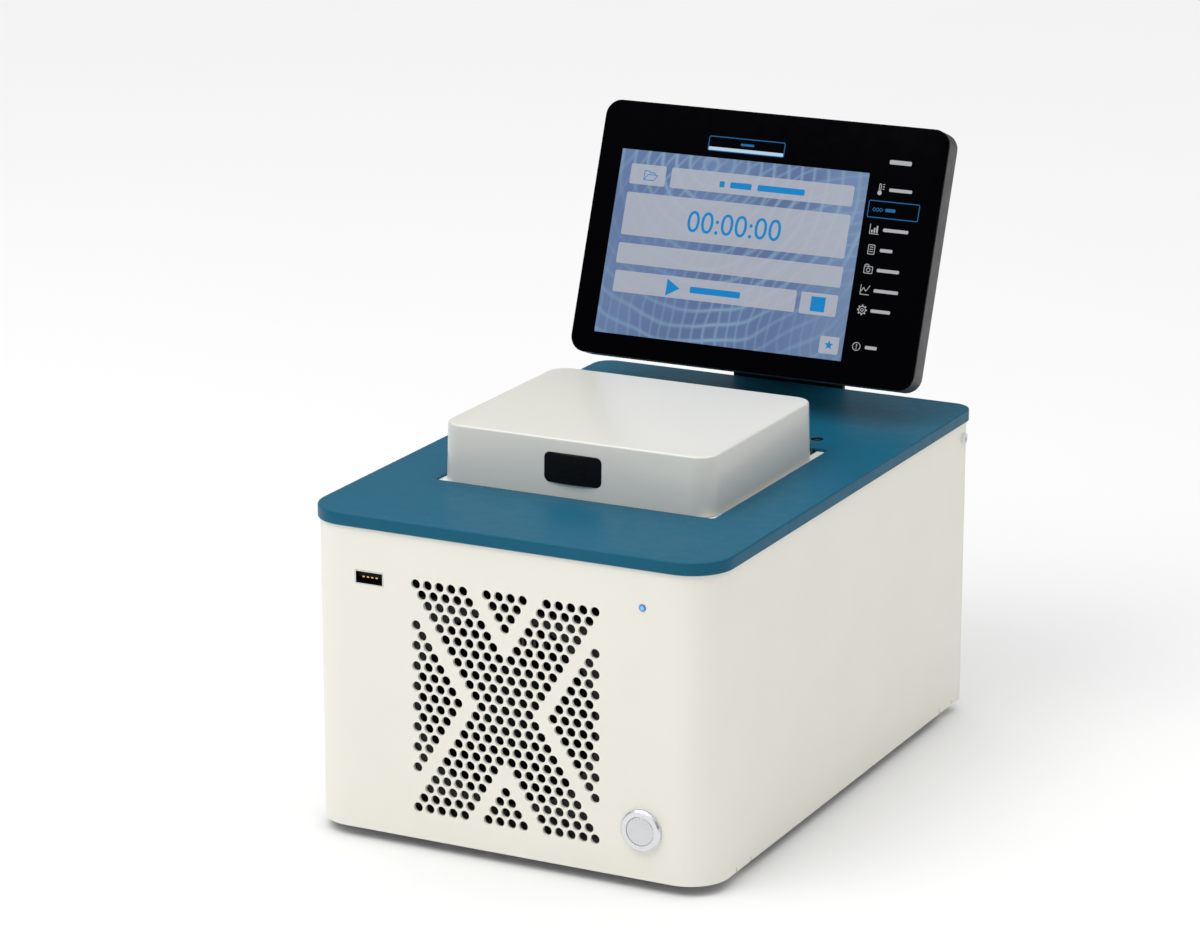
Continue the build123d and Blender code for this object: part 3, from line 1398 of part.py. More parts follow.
with BuildPart() as latch_button:
    with BuildSketch(Plane.XZ.offset(-latch_rear_y)):
        with Locations((0, latch_centre_z)):
            RectangleRounded(latch_width, latch_height, latch_radius)
    extrude(amount=latch_rear_y - latch_face_y + latch_bulge)
    with BuildSketch(Plane.XY.offset(latch_centre_z - latch_height)):
        with Locations((0, latch_face_y - latch_bulge + bulge_radius)):
            Circle(bulge_radius)
        with Locations((0, latch_rear_y)):
            Rectangle(2 * latch_width, 2 * latch_depth, align=(Align.CENTER, Align.MAX), mode=Mode.INTERSECT)
    extrude(amount=2 * latch_height, mode=Mode.INTERSECT)
    with BuildSketch(Plane.XZ.offset(-(latch_face_y - latch_bulge + latch_ridge_rise))):
        with Locations((0, latch_centre_z)):
            with GridLocations(1, latch_ridge_pitch, 1, latch_ridges):
                SlotOverall(latch_ridge_width, latch_ridge_pitch / 2)
    extrude(amount=1.2 * latch_ridge_rise)
    with BuildSketch(Plane.XZ.offset(-latch_rear_y)):
        with Locations((0, latch_centre_z)):
            RectangleRounded(latch_width + 2 * latch_rim, latch_height + 2 * latch_rim, latch_radius)
    extrude(amount=latch_rim_thickness)
    with BuildSketch(Plane.XZ.offset(-latch_rear_y)):
        with Locations((0, hook_pivot_z - hook_lever)):
            Rectangle(hook_width, latch_nub_height)
    extrude(amount=-(hook_front_y - moving_gap - latch_rear_y))
latch_button.part.label = "latch_button"
export_step(latch_button.part, "parts/latch_button.step")

# Latch hook: hangs on a pin in the lid, and its nose catches under the keeper
hook_bottom_z = hook_pivot_z - hook_reach
nose_top_z = hook_pivot_z - hook_nose_drop
nose_tip_y = hook_pivot_y - hook_nose_length
nose_tip_height = 1.0

with BuildPart() as latch_hook:
    with BuildSketch(Plane.YZ.offset(-hook_width / 2)):
        with BuildLine():
            Polyline(
                (hook_front_y, hook_pivot_z),
                (hook_front_y, nose_top_z),
                (nose_tip_y, nose_top_z),
                (nose_tip_y, nose_top_z - nose_tip_height),
                (hook_front_y + hook_thickness / 2, hook_bottom_z),
                (hook_front_y + hook_thickness, hook_bottom_z),
                (hook_front_y + hook_thickness, hook_pivot_z),
                close=True,
            )
        make_face()
        with Locations((hook_pivot_y, hook_pivot_z)):
            Circle(hook_eye_radius)
            Circle(hook_pin_radius + running_gap, mode=Mode.SUBTRACT)
    extrude(amount=hook_width)
latch_hook.part.label = "latch_hook"
export_step(latch_hook.part, "parts/latch_hook.step")

# Pin of the hook, held in the two cheeks under the lid's roof
with BuildPart() as latch_pin:
    with BuildSketch(Plane.YZ.offset(-cheek_x - cheek_thickness)):
        with Locations((hook_pivot_y, hook_pivot_z)):
            Circle(hook_pin_radius)
    extrude(amount=2 * (cheek_x + cheek_thickness))
latch_pin.part.label = "latch_pin"
export_step(latch_pin.part, "parts/latch_pin.step")

# Return springs of the latch button, against the liner's front wall
latch_spring_x = 10.0
latch_spring_radius = 1.6
latch_spring_seat_y = block_y - liner_wall_y
latch_spring_length = latch_spring_seat_y - latch_rear_y
latch_spring_z = latch_centre_z - 2.5
latch_spring_coil = compression_spring(latch_spring_length, latch_spring_radius, 0.5, spring_turns)

with BuildPart() as latch_springs:
    with Locations(
        *[Location((side * latch_spring_x, latch_rear_y, latch_spring_z), (-90, 0, 0)) for side in (-1, 1)]
    ):
        add(latch_spring_coil)
latch_springs.part.label = "latch_springs"
export_step(latch_springs.part, "parts/latch_springs.step")

# Hinge brackets under the plate, their pins and their countersunk screws
bracket_plate_z = case_top_z - hinge_bracket_sheet
hinge_arm_front_y = hinge_axis_y - hinge_eye_radius + 0.9
hinge_arm_rear_y = opening_rear_y - 2 * moving_gap
hinge_foot_end_y = hinge_arm_front_y + hinge_foot_length + 6.0

with BuildPart() as hinge_brackets:
    for side in (-1, 1):
        with BuildSketch(Plane.YZ.offset(side * (hinge_bracket_x - hinge_bracket_width / 2))):
            with BuildLine():
                Polyline(
                    (hinge_arm_front_y, bracket_plate_z),
                    (hinge_arm_front_y, hinge_axis_z),
                    (hinge_arm_rear_y, hinge_axis_z),
                    (hinge_arm_rear_y, case_top_z),
                    (hinge_foot_end_y, case_top_z),
                    (hinge_foot_end_y, bracket_plate_z),
                    close=True,
                )
            make_face()
            with Locations((hinge_axis_y, hinge_axis_z)):
                Circle(hinge_eye_radius)
                Circle(hinge_pin_radius + thread_gap / 2, mode=Mode.SUBTRACT)
        extrude(amount=side * hinge_bracket_width)
    with Locations(*[(side * hinge_screw_x, hinge_screw_y, bracket_plate_z) for side in (-1, 1)]):
        Cylinder(
            screw_radius + thread_gap, hinge_bracket_sheet, align=CENTRE_BOTTOM, mode=Mode.SUBTRACT
        )
hinge_brackets.part.label = "hinge_brackets"
export_step(hinge_brackets.part, "parts/hinge_brackets.step")

hinge_pin_end_x = hinge_bracket_x + hinge_bracket_width / 2
hinge_pin_start_x = knuckle_inner_x + 2.0

with BuildPart() as hinge_pins:
    for side in (-1, 1):
        with BuildSketch(Plane.YZ.offset(side * hinge_pin_start_x)):
            with Locations((hinge_axis_y, hinge_axis_z)):
                Circle(hinge_pin_radius)
        extrude(amount=side * (hinge_pin_end_x - hinge_pin_start_x))
hinge_pins.part.label = "hinge_pins"
export_step(hinge_pins.part, "parts/hinge_pins.step")

hinge_screw = countersunk_screw(plate_thickness + hinge_bracket_sheet)

with BuildPart() as hinge_screws:
    with Locations(*[(side * hinge_screw_x, hinge_screw_y, plate_top_z) for side in (-1, 1)]):
        add(hinge_screw)
hinge_screws.part.label = "hinge_screws"
export_step(hinge_screws.part, "parts/hinge_screws.step")

# Display: glass, panel and housing are drawn on the tilted front face, which looks along its +Z
tilt = radians(display_tilt)
face_normal = Vector(0, -cos(tilt), sin(tilt))
face_up = Vector(0, sin(tilt), cos(tilt))
face_bottom = Vector(0, display_bottom_y, display_bottom_z)
face_centre = face_bottom + face_up * (display_height / 2)
display_face = Plane(origin=face_centre, x_dir=(1, 0, 0), z_dir=face_normal)
housing_depth = display_thickness - glass_thickness
tub_depth = housing_depth - display_floor

with BuildPart() as display_glass:
    with BuildSketch(display_face):
        RectangleRounded(display_width, display_height, display_corner_radius)
    extrude(amount=-glass_thickness)
    front_rim = display_glass.faces().sort_by(Axis(face_centre, face_normal))[-1].edges()
    fillet(front_rim, glass_edge_round)
display_glass.part.label = "display_glass"
export_step(display_glass.part, "parts/display_glass.step")

with BuildPart() as display_housing:
    with BuildSketch(display_face.offset(-glass_thickness)):
        RectangleRounded(display_width, display_height, display_corner_radius)
    extrude(amount=-housing_depth)
    rear_rim = display_housing.faces().sort_by(Axis(face_centre, face_normal))[0].edges()
    fillet(rear_rim, display_rear_round)
    with BuildSketch(display_face.offset(-glass_thickness)):
        RectangleRounded(lcd_width + 2 * fit, lcd_height + 2 * fit, lcd_corner_radius + fit)
    extrude(amount=-tub_depth, mode=Mode.SUBTRACT)
display_housing.part.label = "display_housing"
export_step(display_housing.part, "parts/display_housing.step")

with BuildPart() as lcd_panel:
    with BuildSketch(display_face.offset(-glass_thickness)):
        RectangleRounded(lcd_width, lcd_height, lcd_corner_radius)
    extrude(amount=-lcd_thickness)
lcd_panel.part.label = "lcd_panel"
export_step(lcd_panel.part, "parts/lcd_panel.step")

with BuildPart() as display_board:
    with BuildSketch(display_face.offset(-glass_thickness - lcd_thickness)):
        Rectangle(lcd_width * 0.7, lcd_height * 0.8)
    extrude(amount=-board_thickness)
display_board.part.label = "display_board"
export_step(display_board.part, "parts/display_board.step")

# Hinge block on the display's back, drawn square to the display and bored for the pin
pin_centre = Vector(0, display_pin_y, display_pin_z)
rear_face = display_face.offset(-display_thickness)
pin_on_face = display_face.to_local_coords(pin_centre)
pin_height = pin_on_face.Y
pin_depth = -pin_on_face.Z - display_thickness
knuckle_half = bracket_half - bracket_sheet - washer_thickness - knuckle_gap

with BuildPart() as display_knuckle:
    with BuildSketch(rear_face):
        with Locations((0, pin_height)):
            RectangleRounded(2 * knuckle_half, knuckle_plate_height, 4.0)
    extrude(amount=-knuckle_plate_thickness)
    with BuildSketch(Plane(origin=pin_centre, x_dir=face_up, z_dir=(1, 0, 0))):
        Rectangle(2 * ear_radius, pin_depth, align=(Align.CENTER, Align.MIN))
        Circle(ear_radius)
        Circle(display_pin_radius + running_gap, mode=Mode.SUBTRACT)
    extrude(amount=knuckle_half, both=True)
display_knuckle.part.label = "display_knuckle"
export_step(display_knuckle.part, "parts/display_knuckle.step")

# Display bracket: a thick plate stepped out round the top plate's rear edge, with two ears
bracket_front_y = case_rear_y + plate_rear_overhang + bracket_gap
step_low_z = case_top_z - plate_rear_overhang - bracket_gap - 6.0
step_high_z = case_top_z - 6.0
bracket_top_z = display_pin_z + ear_radius
ear_drop = 18.0

with BuildPart() as display_bracket:
    with BuildSketch(Plane.YZ.offset(-bracket_half)) as bracket_side:
        with BuildLine():
            Polyline(
                (case_rear_y, bracket_foot_z),
                (case_rear_y, step_low_z),
                (bracket_front_y, step_high_z),
                (bracket_front_y, bracket_top_z),
                (bracket_front_y + bracket_sheet, bracket_top_z),
                (bracket_front_y + bracket_sheet, step_high_z - bracket_sheet / 2),
                (case_rear_y + bracket_sheet, step_low_z - bracket_sheet / 2),
                (case_rear_y + bracket_sheet, bracket_foot_z),
                close=True,
            )
        make_face()
    extrude(amount=2 * bracket_half)
    for side in (-1, 1):
        with BuildSketch(Plane.YZ.offset(side * bracket_half)):
            with BuildLine():
                Polyline(
                    (bracket_front_y, bracket_top_z),
                    (display_pin_y, bracket_top_z),
                    (display_pin_y - ear_radius, display_pin_z),
                    (display_pin_y, display_pin_z - ear_radius),
                    (bracket_front_y, display_pin_z - ear_drop),
                    close=True,
                )
            make_face()
            with Locations((display_pin_y, display_pin_z)):
                Circle(ear_radius)
                Circle(display_pin_radius + thread_gap / 2, mode=Mode.SUBTRACT)
        extrude(amount=-side * bracket_sheet)
    with BuildSketch(Plane.XZ.offset(-case_rear_y)):
        with Locations(*bracket_screws):
            Circle(screw_radius + fit)
    extrude(amount=-bracket_sheet, mode=Mode.SUBTRACT)
    fillet(display_bracket.edges().filter_by(Axis.Y).group_by(Axis.Z)[0], 4.0)
display_bracket.part.label = "display_bracket"
export_step(display_bracket.part, "parts/display_bracket.step")

bracket_screw = socket_screw(bracket_sheet + sheet + nut_height)

with BuildPart() as bracket_screws_set:
    with Locations(
        *[Location((x, case_rear_y + bracket_sheet, z), (-90, 0, 0)) for x, z in bracket_screws]
    ):
        add(bracket_screw)
bracket_screws_set.part.label = "bracket_screws"
export_step(bracket_screws_set.part, "parts/bracket_screws.step")

# Hinge pin with a head and a nut, and the friction washers between knuckle and ears
pin_head_radius = 5.0
pin_head_height = 2.5

with BuildPart() as display_pin:
    with BuildSketch(Plane.YZ.offset(-bracket_half)):
        with Locations((display_pin_y, display_pin_z)):
            Circle(display_pin_radius)
    extrude(amount=2 * bracket_half + 4.0)
    with BuildSketch(Plane.YZ.offset(-bracket_half)):
        with Locations((display_pin_y, display_pin_z)):
            Circle(pin_head_radius)
    extrude(amount=-pin_head_height)
    with BuildSketch(Plane.YZ.offset(bracket_half)):
        with Locations((display_pin_y, display_pin_z)):
            RegularPolygon(pin_head_radius, 6)
    extrude(amount=pin_head_height)
display_pin.part.label = "display_pin"
export_step(display_pin.part, "parts/display_pin.step")

with BuildPart() as friction_washers:
    for side in (-1, 1):
        with BuildSketch(Plane.YZ.offset(side * (bracket_half - bracket_sheet))):
            with Locations((display_pin_y, display_pin_z)):
                Circle(ear_radius - 1.0)
                Circle(display_pin_radius + thread_gap / 2, mode=Mode.SUBTRACT)
        extrude(amount=-side * washer_thickness)
friction_washers.part.label = "friction_washers"
export_step(friction_washers.part, "parts/friction_washers.step")
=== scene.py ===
"""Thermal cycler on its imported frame: finishes, screen, small fittings, floor, light and camera."""
import json
import logging
import math
from collections.abc import Callable
from dataclasses import dataclass
from enum import Enum

import bpy
from mathutils import Matrix, Vector


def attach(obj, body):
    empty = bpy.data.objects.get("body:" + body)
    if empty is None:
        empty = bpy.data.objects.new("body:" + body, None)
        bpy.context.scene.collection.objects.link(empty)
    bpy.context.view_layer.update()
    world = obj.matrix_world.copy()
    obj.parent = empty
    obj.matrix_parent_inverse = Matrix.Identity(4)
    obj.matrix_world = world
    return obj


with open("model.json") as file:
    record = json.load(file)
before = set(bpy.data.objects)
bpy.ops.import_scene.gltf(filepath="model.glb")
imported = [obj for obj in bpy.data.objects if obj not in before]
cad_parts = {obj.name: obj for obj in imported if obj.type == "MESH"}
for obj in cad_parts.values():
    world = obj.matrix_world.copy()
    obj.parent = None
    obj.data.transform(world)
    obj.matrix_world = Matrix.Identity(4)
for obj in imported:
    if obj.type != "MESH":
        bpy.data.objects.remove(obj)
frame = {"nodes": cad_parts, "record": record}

log = logging.getLogger("thermal_cycler")

MM = 0.001
Colour = tuple[float, float, float]
Point = tuple[float, float]
Triple = tuple[float, float, float]

NOISE_LOW = 0.3  # a noise factor seldom leaves the band between these two
NOISE_HIGH = 0.7
PATCH_SCALE = 160.0
COAT_ROUGHNESS = 0.12
SMOOTHEST_METAL = 0.03
SCREEN_ROUGHNESS = 0.3
SCREEN_GLOSS = 0.15


def shade(red: int, green: int, blue: int) -> Colour:
    """Turns a screen colour of 0 to 255 into the linear colour that a shader takes.

    Args:
        red: Red level.
        green: Green level.
        blue: Blue level.

    Returns:
        The linear red, green and blue.
    """
    levels = [level / 255 for level in (red, green, blue)]
    linear = [v / 12.92 if v <= 0.04045 else ((v + 0.055) / 1.055) ** 2.4 for v in levels]
    return (linear[0], linear[1], linear[2])


def scaled(colour: Colour, factor: float) -> Colour:
    """Makes a colour lighter or darker.

    Args:
        colour: The colour to change.
        factor: What each level is multiplied by.

    Returns:
        The new colour, capped at white.
    """
    red, green, blue = (min(level * factor, 1.0) for level in colour)
    return (red, green, blue)


class NodeSheet:
    """The node tree of one material, with short calls to add, link and set its nodes."""

    def __init__(self, name: str) -> None:
        """Starts a material with a Principled shader and object coordinates.

        Args:
            name: The material's name.
        """
        self.material = bpy.data.materials.new(name)
        self.material.use_nodes = True
        self.tree = self.material.node_tree
        self.shader = self.tree.nodes["Principled BSDF"]
        self.place = self.node("ShaderNodeTexCoord").outputs["Object"]

    def node(self, kind: str, **settings: object) -> bpy.types.Node:
        """Adds a node.

        Args:
            kind: The node's type name.
            **settings: Attributes to set on it.

        Returns:
            The new node.
        """
        made = self.tree.nodes.new(kind)
        for key, value in settings.items():
            setattr(made, key, value)
        return made

    def link(self, source: bpy.types.NodeSocket, target: bpy.types.NodeSocket) -> None:
        """Links one socket to another.

        Args:
            source: An output.
            target: An input.
        """
        self.tree.links.new(source, target)

    def feed(self, socket: bpy.types.NodeSocket, value: object) -> None:
        """Gives an input a socket to follow or a plain value.

        Args:
            socket: The input.
            value: A socket, a number or a colour.
        """
        if isinstance(value, bpy.types.NodeSocket):
            self.link(value, socket)
        else:
            socket.default_value = (*value, 1.0) if isinstance(value, tuple) else value

    def set(self, socket: str, value: object) -> None:
        """Sets a plain value on one of the shader's sockets.

        Args:
            socket: The socket's name.
            value: Its new value.
        """
        self.shader.inputs[socket].default_value = value

    def math(self, operation: str, first: object, second: object = 0.0) -> bpy.types.NodeSocket:
        """Adds a math node.

        Args:
            operation: The node's operation.
            first: A socket or a number.
            second: A socket or a number.

        Returns:
            The node's output.
        """
        made = self.node("ShaderNodeMath", operation=operation)
        for socket, value in zip(made.inputs, (first, second)):
            self.feed(socket, value)
        return made.outputs[0]

    def mapped(self, scale: Triple, offset: Vector | None = None) -> bpy.types.NodeSocket:
        """Stretches and shifts the object coordinates.

        Args:
            scale: Scale along each axis.
            offset: A point, in metres, that becomes the pattern's centre.

        Returns:
            The mapped coordinates.
        """
        made = self.node("ShaderNodeMapping")
        self.link(self.place, made.inputs["Vector"])
        made.inputs["Scale"].default_value = scale
        if offset is not None:
            made.inputs["Location"].default_value = [-o * s for o, s in zip(offset, scale)]
        return made.outputs["Vector"]

    def noise(
        self,
        scale: float,
        detail: float = 2.0,
        vector: bpy.types.NodeSocket | None = None,
        rough: float = 0.5,
    ) -> bpy.types.NodeSocket:
        """Adds a noise texture.

        Args:
            scale: Its scale, per metre of object space.
            detail: How many octaves it has.
            vector: Its coordinates, object coordinates if left out.
            rough: How strong the finer octaves are.

        Returns:
            The noise factor.
        """
        made = self.node("ShaderNodeTexNoise")
        made.inputs["Scale"].default_value = scale
        made.inputs["Detail"].default_value = detail
        made.inputs["Roughness"].default_value = rough
        self.link(vector or self.place, made.inputs["Vector"])
        return made.outputs["Fac"]

    def ramp(self, factor: bpy.types.NodeSocket, stops: list[tuple[float, Colour]]) -> bpy.types.NodeSocket:
        """Turns a factor into a colour.

        Args:
            factor: The factor's socket.
            stops: Positions with their colours.

        Returns:
            The colour.
        """
        made = self.node("ShaderNodeValToRGB")
        while len(made.color_ramp.elements) < len(stops):
            made.color_ramp.elements.new(0.5)
        for element, (place, colour) in zip(made.color_ramp.elements, stops):
            element.position = place
            element.color = (*colour, 1.0)
        self.link(factor, made.inputs["Fac"])
        return made.outputs["Color"]

    def spread(self, factor: bpy.types.NodeSocket, low: float, high: float) -> bpy.types.NodeSocket:
        """Maps the middle of a noise factor's range onto two limits.

        Args:
            factor: A noise factor.
            low: The value at the band's lower end.
            high: The value at its upper end.

        Returns:
            The mapped value.
        """
        made = self.node("ShaderNodeMapRange")
        self.link(factor, made.inputs["Value"])
        limits = {"From Min": NOISE_LOW, "From Max": NOISE_HIGH, "To Min": low, "To Max": high}
        for socket, value in limits.items():
            made.inputs[socket].default_value = value
        return made.outputs["Result"]

    def tinted(
        self, factor: bpy.types.NodeSocket, colour: Colour, swing: float
    ) -> bpy.types.NodeSocket:
        """Lets a colour grow lighter and darker with a noise factor.

        Args:
            factor: A noise factor.
            colour: The middle colour.
            swing: How far it goes each way, as a share.

        Returns:
            The varied colour.
        """
        ends = [(NOISE_LOW, scaled(colour, 1 - swing)), (NOISE_HIGH, scaled(colour, 1 + swing))]
        return self.ramp(factor, ends)

    def mix(
        self, factor: object, first: object, second: object, mode: str = "MIX"
    ) -> bpy.types.NodeSocket:
        """Mixes two colours.

        Args:
            factor: How much of the second colour, a number or a socket.
            first: A colour or its socket.
            second: A colour or its socket.
            mode: The blend mode.

        Returns:
            The mixed colour.
        """
        made = self.node("ShaderNodeMix", data_type="RGBA", blend_type=mode)
        for socket, value in (("Factor", factor), ("A", first), ("B", second)):
            self.feed(made.inputs[socket], value)
        return made.outputs["Result"]

    def paint(self, colour: Colour, mottle: float, scale: float = 22.0) -> None:
        """Gives the shader a colour that drifts a little over the piece.

        Args:
            colour: The middle colour.
            mottle: How far it drifts, as a share.
            scale: Scale of the drift, per metre.
        """
        drift = self.tinted(self.noise(scale, 3.0), colour, mottle)
        self.link(drift, self.shader.inputs["Base Color"])

    def relief(self, height: bpy.types.NodeSocket, depth: float, strength: float = 1.0) -> None:
        """Gives the shader a bump.

        Args:
            height: The height's socket.
            depth: The bump's depth in metres.
            strength: The bump's strength.
        """
        made = self.node("ShaderNodeBump")
        made.inputs["Distance"].default_value = depth
        made.inputs["Strength"].default_value = strength
        self.link(height, made.inputs["Height"])
        self.link(made.outputs["Normal"], self.shader.inputs["Normal"])

    def rough(self, factor: bpy.types.NodeSocket, low: float, high: float) -> None:
        """Gives the shader a roughness that varies between two limits.

        Args:
            factor: A noise factor.
            low: The lower limit.
            high: The upper limit.
        """
        self.link(self.spread(factor, low, high), self.shader.inputs["Roughness"])

    def lit(self, shown: bpy.types.NodeSocket, unlit: Colour, glow: float) -> None:
        """Makes the shader glow as a screen does behind its glass.

        Args:
            shown: The colour it shows.
            unlit: The colour it has without its light.
            glow: Strength of the light.
        """
        self.link(shown, self.shader.inputs["Emission Color"])
        self.set("Emission Strength", glow)
        self.set("Base Color", (*unlit, 1.0))
        self.set("Roughness", SCREEN_ROUGHNESS)
        self.set("Specular IOR Level", SCREEN_GLOSS)


@dataclass(frozen=True)
class Coating:
    """Powder coat, moulded plastic, rubber or ceramic: an even colour with a fine grain."""

    name: str
    colour: Colour
    roughness: float = 0.45
    grain_mm: float = 0.7
    relief_mm: float = 0.02
    mottle: float = 0.02
    coat: float = 0.0
    gloss: float = 0.5
    patchiness: float = 0.05

    def material(self) -> bpy.types.Material:
        """Returns the coating's material."""
        sheet = NodeSheet(self.name)
        sheet.paint(self.colour, self.mottle)
        low, high = self.roughness - self.patchiness, self.roughness + self.patchiness
        sheet.rough(sheet.noise(PATCH_SCALE, 4.0), low, high)
        if self.relief_mm:
            sheet.relief(sheet.noise(1000.0 / self.grain_mm, 2.0), self.relief_mm * MM)
        sheet.set("Specular IOR Level", self.gloss)
        if self.coat:
            sheet.set("Coat Weight", self.coat)
            sheet.set("Coat Roughness", COAT_ROUGHNESS)
        return sheet.material


class Lay(Enum):
    """Direction in which a metal's fine lines run."""

    ALONG_X = (3.0, 900.0, 900.0)
    ALONG_Y = (900.0, 3.0, 900.0)
    EVEN = (420.0, 420.0, 420.0)
    SPUN = (0.0, 0.0, 0.0)


@dataclass(frozen=True)
class Metal:
    """Bare or plated metal with drawn, blasted or spun lines."""

    name: str
    colour: Colour
    roughness: float = 0.3
    lay: Lay = Lay.EVEN
    centre: Triple = (0.0, 0.0, 0.0)
    contrast: float = 0.08
    relief_mm: float = 0.01
    swing: float = 0.08

    def material(self) -> bpy.types.Material:
        """Returns the metal's material."""
        sheet = NodeSheet(self.name)
        sheet.set("Metallic", 1.0)
        if self.lay is Lay.SPUN:
            lines = self.spun(sheet)
        else:
            lines = sheet.noise(1.0, 3.0, sheet.mapped(self.lay.value))
        tint = sheet.tinted(lines, self.colour, self.contrast)
        sheet.link(tint, sheet.shader.inputs["Base Color"])
        low = max(self.roughness - self.swing, SMOOTHEST_METAL)
        sheet.rough(lines, low, self.roughness + self.swing)
        sheet.relief(lines, self.relief_mm * MM)
        return sheet.material

    def spun(self, sheet: NodeSheet) -> bpy.types.NodeSocket:
        """Adds lines that fan out round an axis along Y.

        Args:
            sheet: The material's node sheet.

        Returns:
            The lines' factor.
        """
        parts = sheet.node("ShaderNodeSeparateXYZ")
        sheet.link(sheet.mapped((1.0, 1.0, 1.0), Vector(self.centre)), parts.inputs[0])
        turn = sheet.math("ARCTAN2", parts.outputs["X"], parts.outputs["Z"])
        joined = sheet.node("ShaderNodeCombineXYZ")
        for axis, wave in (("X", "SINE"), ("Y", "COSINE")):
            sheet.link(sheet.math("MULTIPLY", sheet.math(wave, turn), 9.0), joined.inputs[axis])
        return sheet.noise(2.2, 4.0, joined.outputs[0], 0.65)


@dataclass(frozen=True)
class SolderMask:
    """Green board laminate with fine copper runs under its mask."""

    name: str
    colour: Colour

    def material(self) -> bpy.types.Material:
        """Returns the laminate's material."""
        sheet = NodeSheet(self.name)
        runs = sheet.node("ShaderNodeTexBrick")
        runs.inputs["Scale"].default_value = 160.0
        runs.inputs["Mortar Size"].default_value = 0.03
        runs.inputs["Color1"].default_value = (*self.colour, 1.0)
        runs.inputs["Color2"].default_value = (*scaled(self.colour, 0.8), 1.0)
        runs.inputs["Mortar"].default_value = (*scaled(self.colour, 2.1), 1.0)
        sheet.link(sheet.place, runs.inputs["Vector"])
        sheet.link(runs.outputs["Color"], sheet.shader.inputs["Base Color"])
        sheet.rough(sheet.noise(300.0), 0.25, 0.4)
        sheet.relief(runs.outputs["Fac"], 0.03 * MM, 0.4)
        return sheet.material


@dataclass(frozen=True)
class Lens:
    """Small glowing lens, bright at its middle and dark at its rim."""

    name: str
    centre: Triple
    radius: float
    core: Colour
    rim: Colour
    glow: float

    def material(self) -> bpy.types.Material:
        """Returns the lens's material."""
        sheet = NodeSheet(self.name)
        reach = sheet.node("ShaderNodeVectorMath", operation="LENGTH")
        flat = sheet.mapped((1.0 / self.radius, 0.0, 1.0 / self.radius), Vector(self.centre))
        sheet.link(flat, reach.inputs[0])
        stops = [(0.1, self.core), (0.6, scaled(self.core, 0.45)), (1.0, self.rim)]
        tint = sheet.ramp(reach.outputs["Value"], stops)
        sheet.link(tint, sheet.shader.inputs["Base Color"])
        sheet.link(tint, sheet.shader.inputs["Emission Color"])
        sheet.set("Emission Strength", self.glow)
        sheet.set("Coat Weight", 1.0)
        sheet.rough(sheet.noise(900.0), 0.08, 0.2)
        return sheet.material


@dataclass(frozen=True)
class ScreenInk:
    """Colour that the screen lights up, seen through its glass."""

    name: str
    colour: Colour
    glow: float = 0.6
    grain: float = 0.04

    def material(self) -> bpy.types.Material:
        """Returns the ink's material."""
        sheet = NodeSheet(self.name)
        cells = sheet.tinted(sheet.noise(3200.0, 1.0), self.colour, self.grain)
        sheet.lit(cells, scaled(self.colour, 0.25), self.glow)
        return sheet.material


@dataclass(frozen=True)
class ScreenPicture:
    """The screen's blue-grey field with soft ripples from two places, plain or behind a veil."""

    name: str
    glow: float = 0.6
    veil: float = 0.0
    veil_colour: Colour = (0.67, 0.68, 0.72)

    def material(self) -> bpy.types.Material:
        """Returns the picture's material."""
        sheet = NodeSheet(self.name)
        shown = sheet.ramp(
            sheet.noise(11.0, 2.0, sheet.mapped((1.0, 1.0, 0.55))),
            [(0.28, shade(92, 104, 142)), (0.5, shade(104, 132, 176)), (0.72, shade(136, 164, 200))],
        )
        for centre, scale, tint in (
            (Vector((-0.030, 0.120, 0.262)), 42.0, shade(164, 202, 226)),
            (Vector((0.062, 0.095, 0.188)), 55.0, shade(150, 182, 216)),
        ):
            ripple = sheet.node("ShaderNodeTexWave", wave_type="RINGS", rings_direction="SPHERICAL")
            form = {"Scale": scale, "Distortion": 5.0, "Detail": 1.5, "Detail Scale": 0.6}
            for socket, value in form.items():
                ripple.inputs[socket].default_value = value
            sheet.link(sheet.mapped((1.0, 1.0, 1.0), centre), ripple.inputs["Vector"])
            lines = sheet.math("POWER", ripple.outputs["Fac"], 7.0)
            share = sheet.math("MULTIPLY", lines, sheet.spread(sheet.noise(16.0, 1.0), 0.0, 0.75))
            shown = sheet.mix(share, shown, tint)
        if self.veil:
            shown = sheet.mix(self.veil, shown, self.veil_colour)
        sheet.lit(shown, shade(50, 58, 80), self.glow)
        return sheet.material


WHITE_PAINT = shade(247, 245, 234)
TEAL_PAINT = shade(20, 94, 121)
BUTTON_AXIS = (0.0669, 0.0, 0.0280)
LIGHT_AXIS = (0.0669, 0.0, 0.1293)

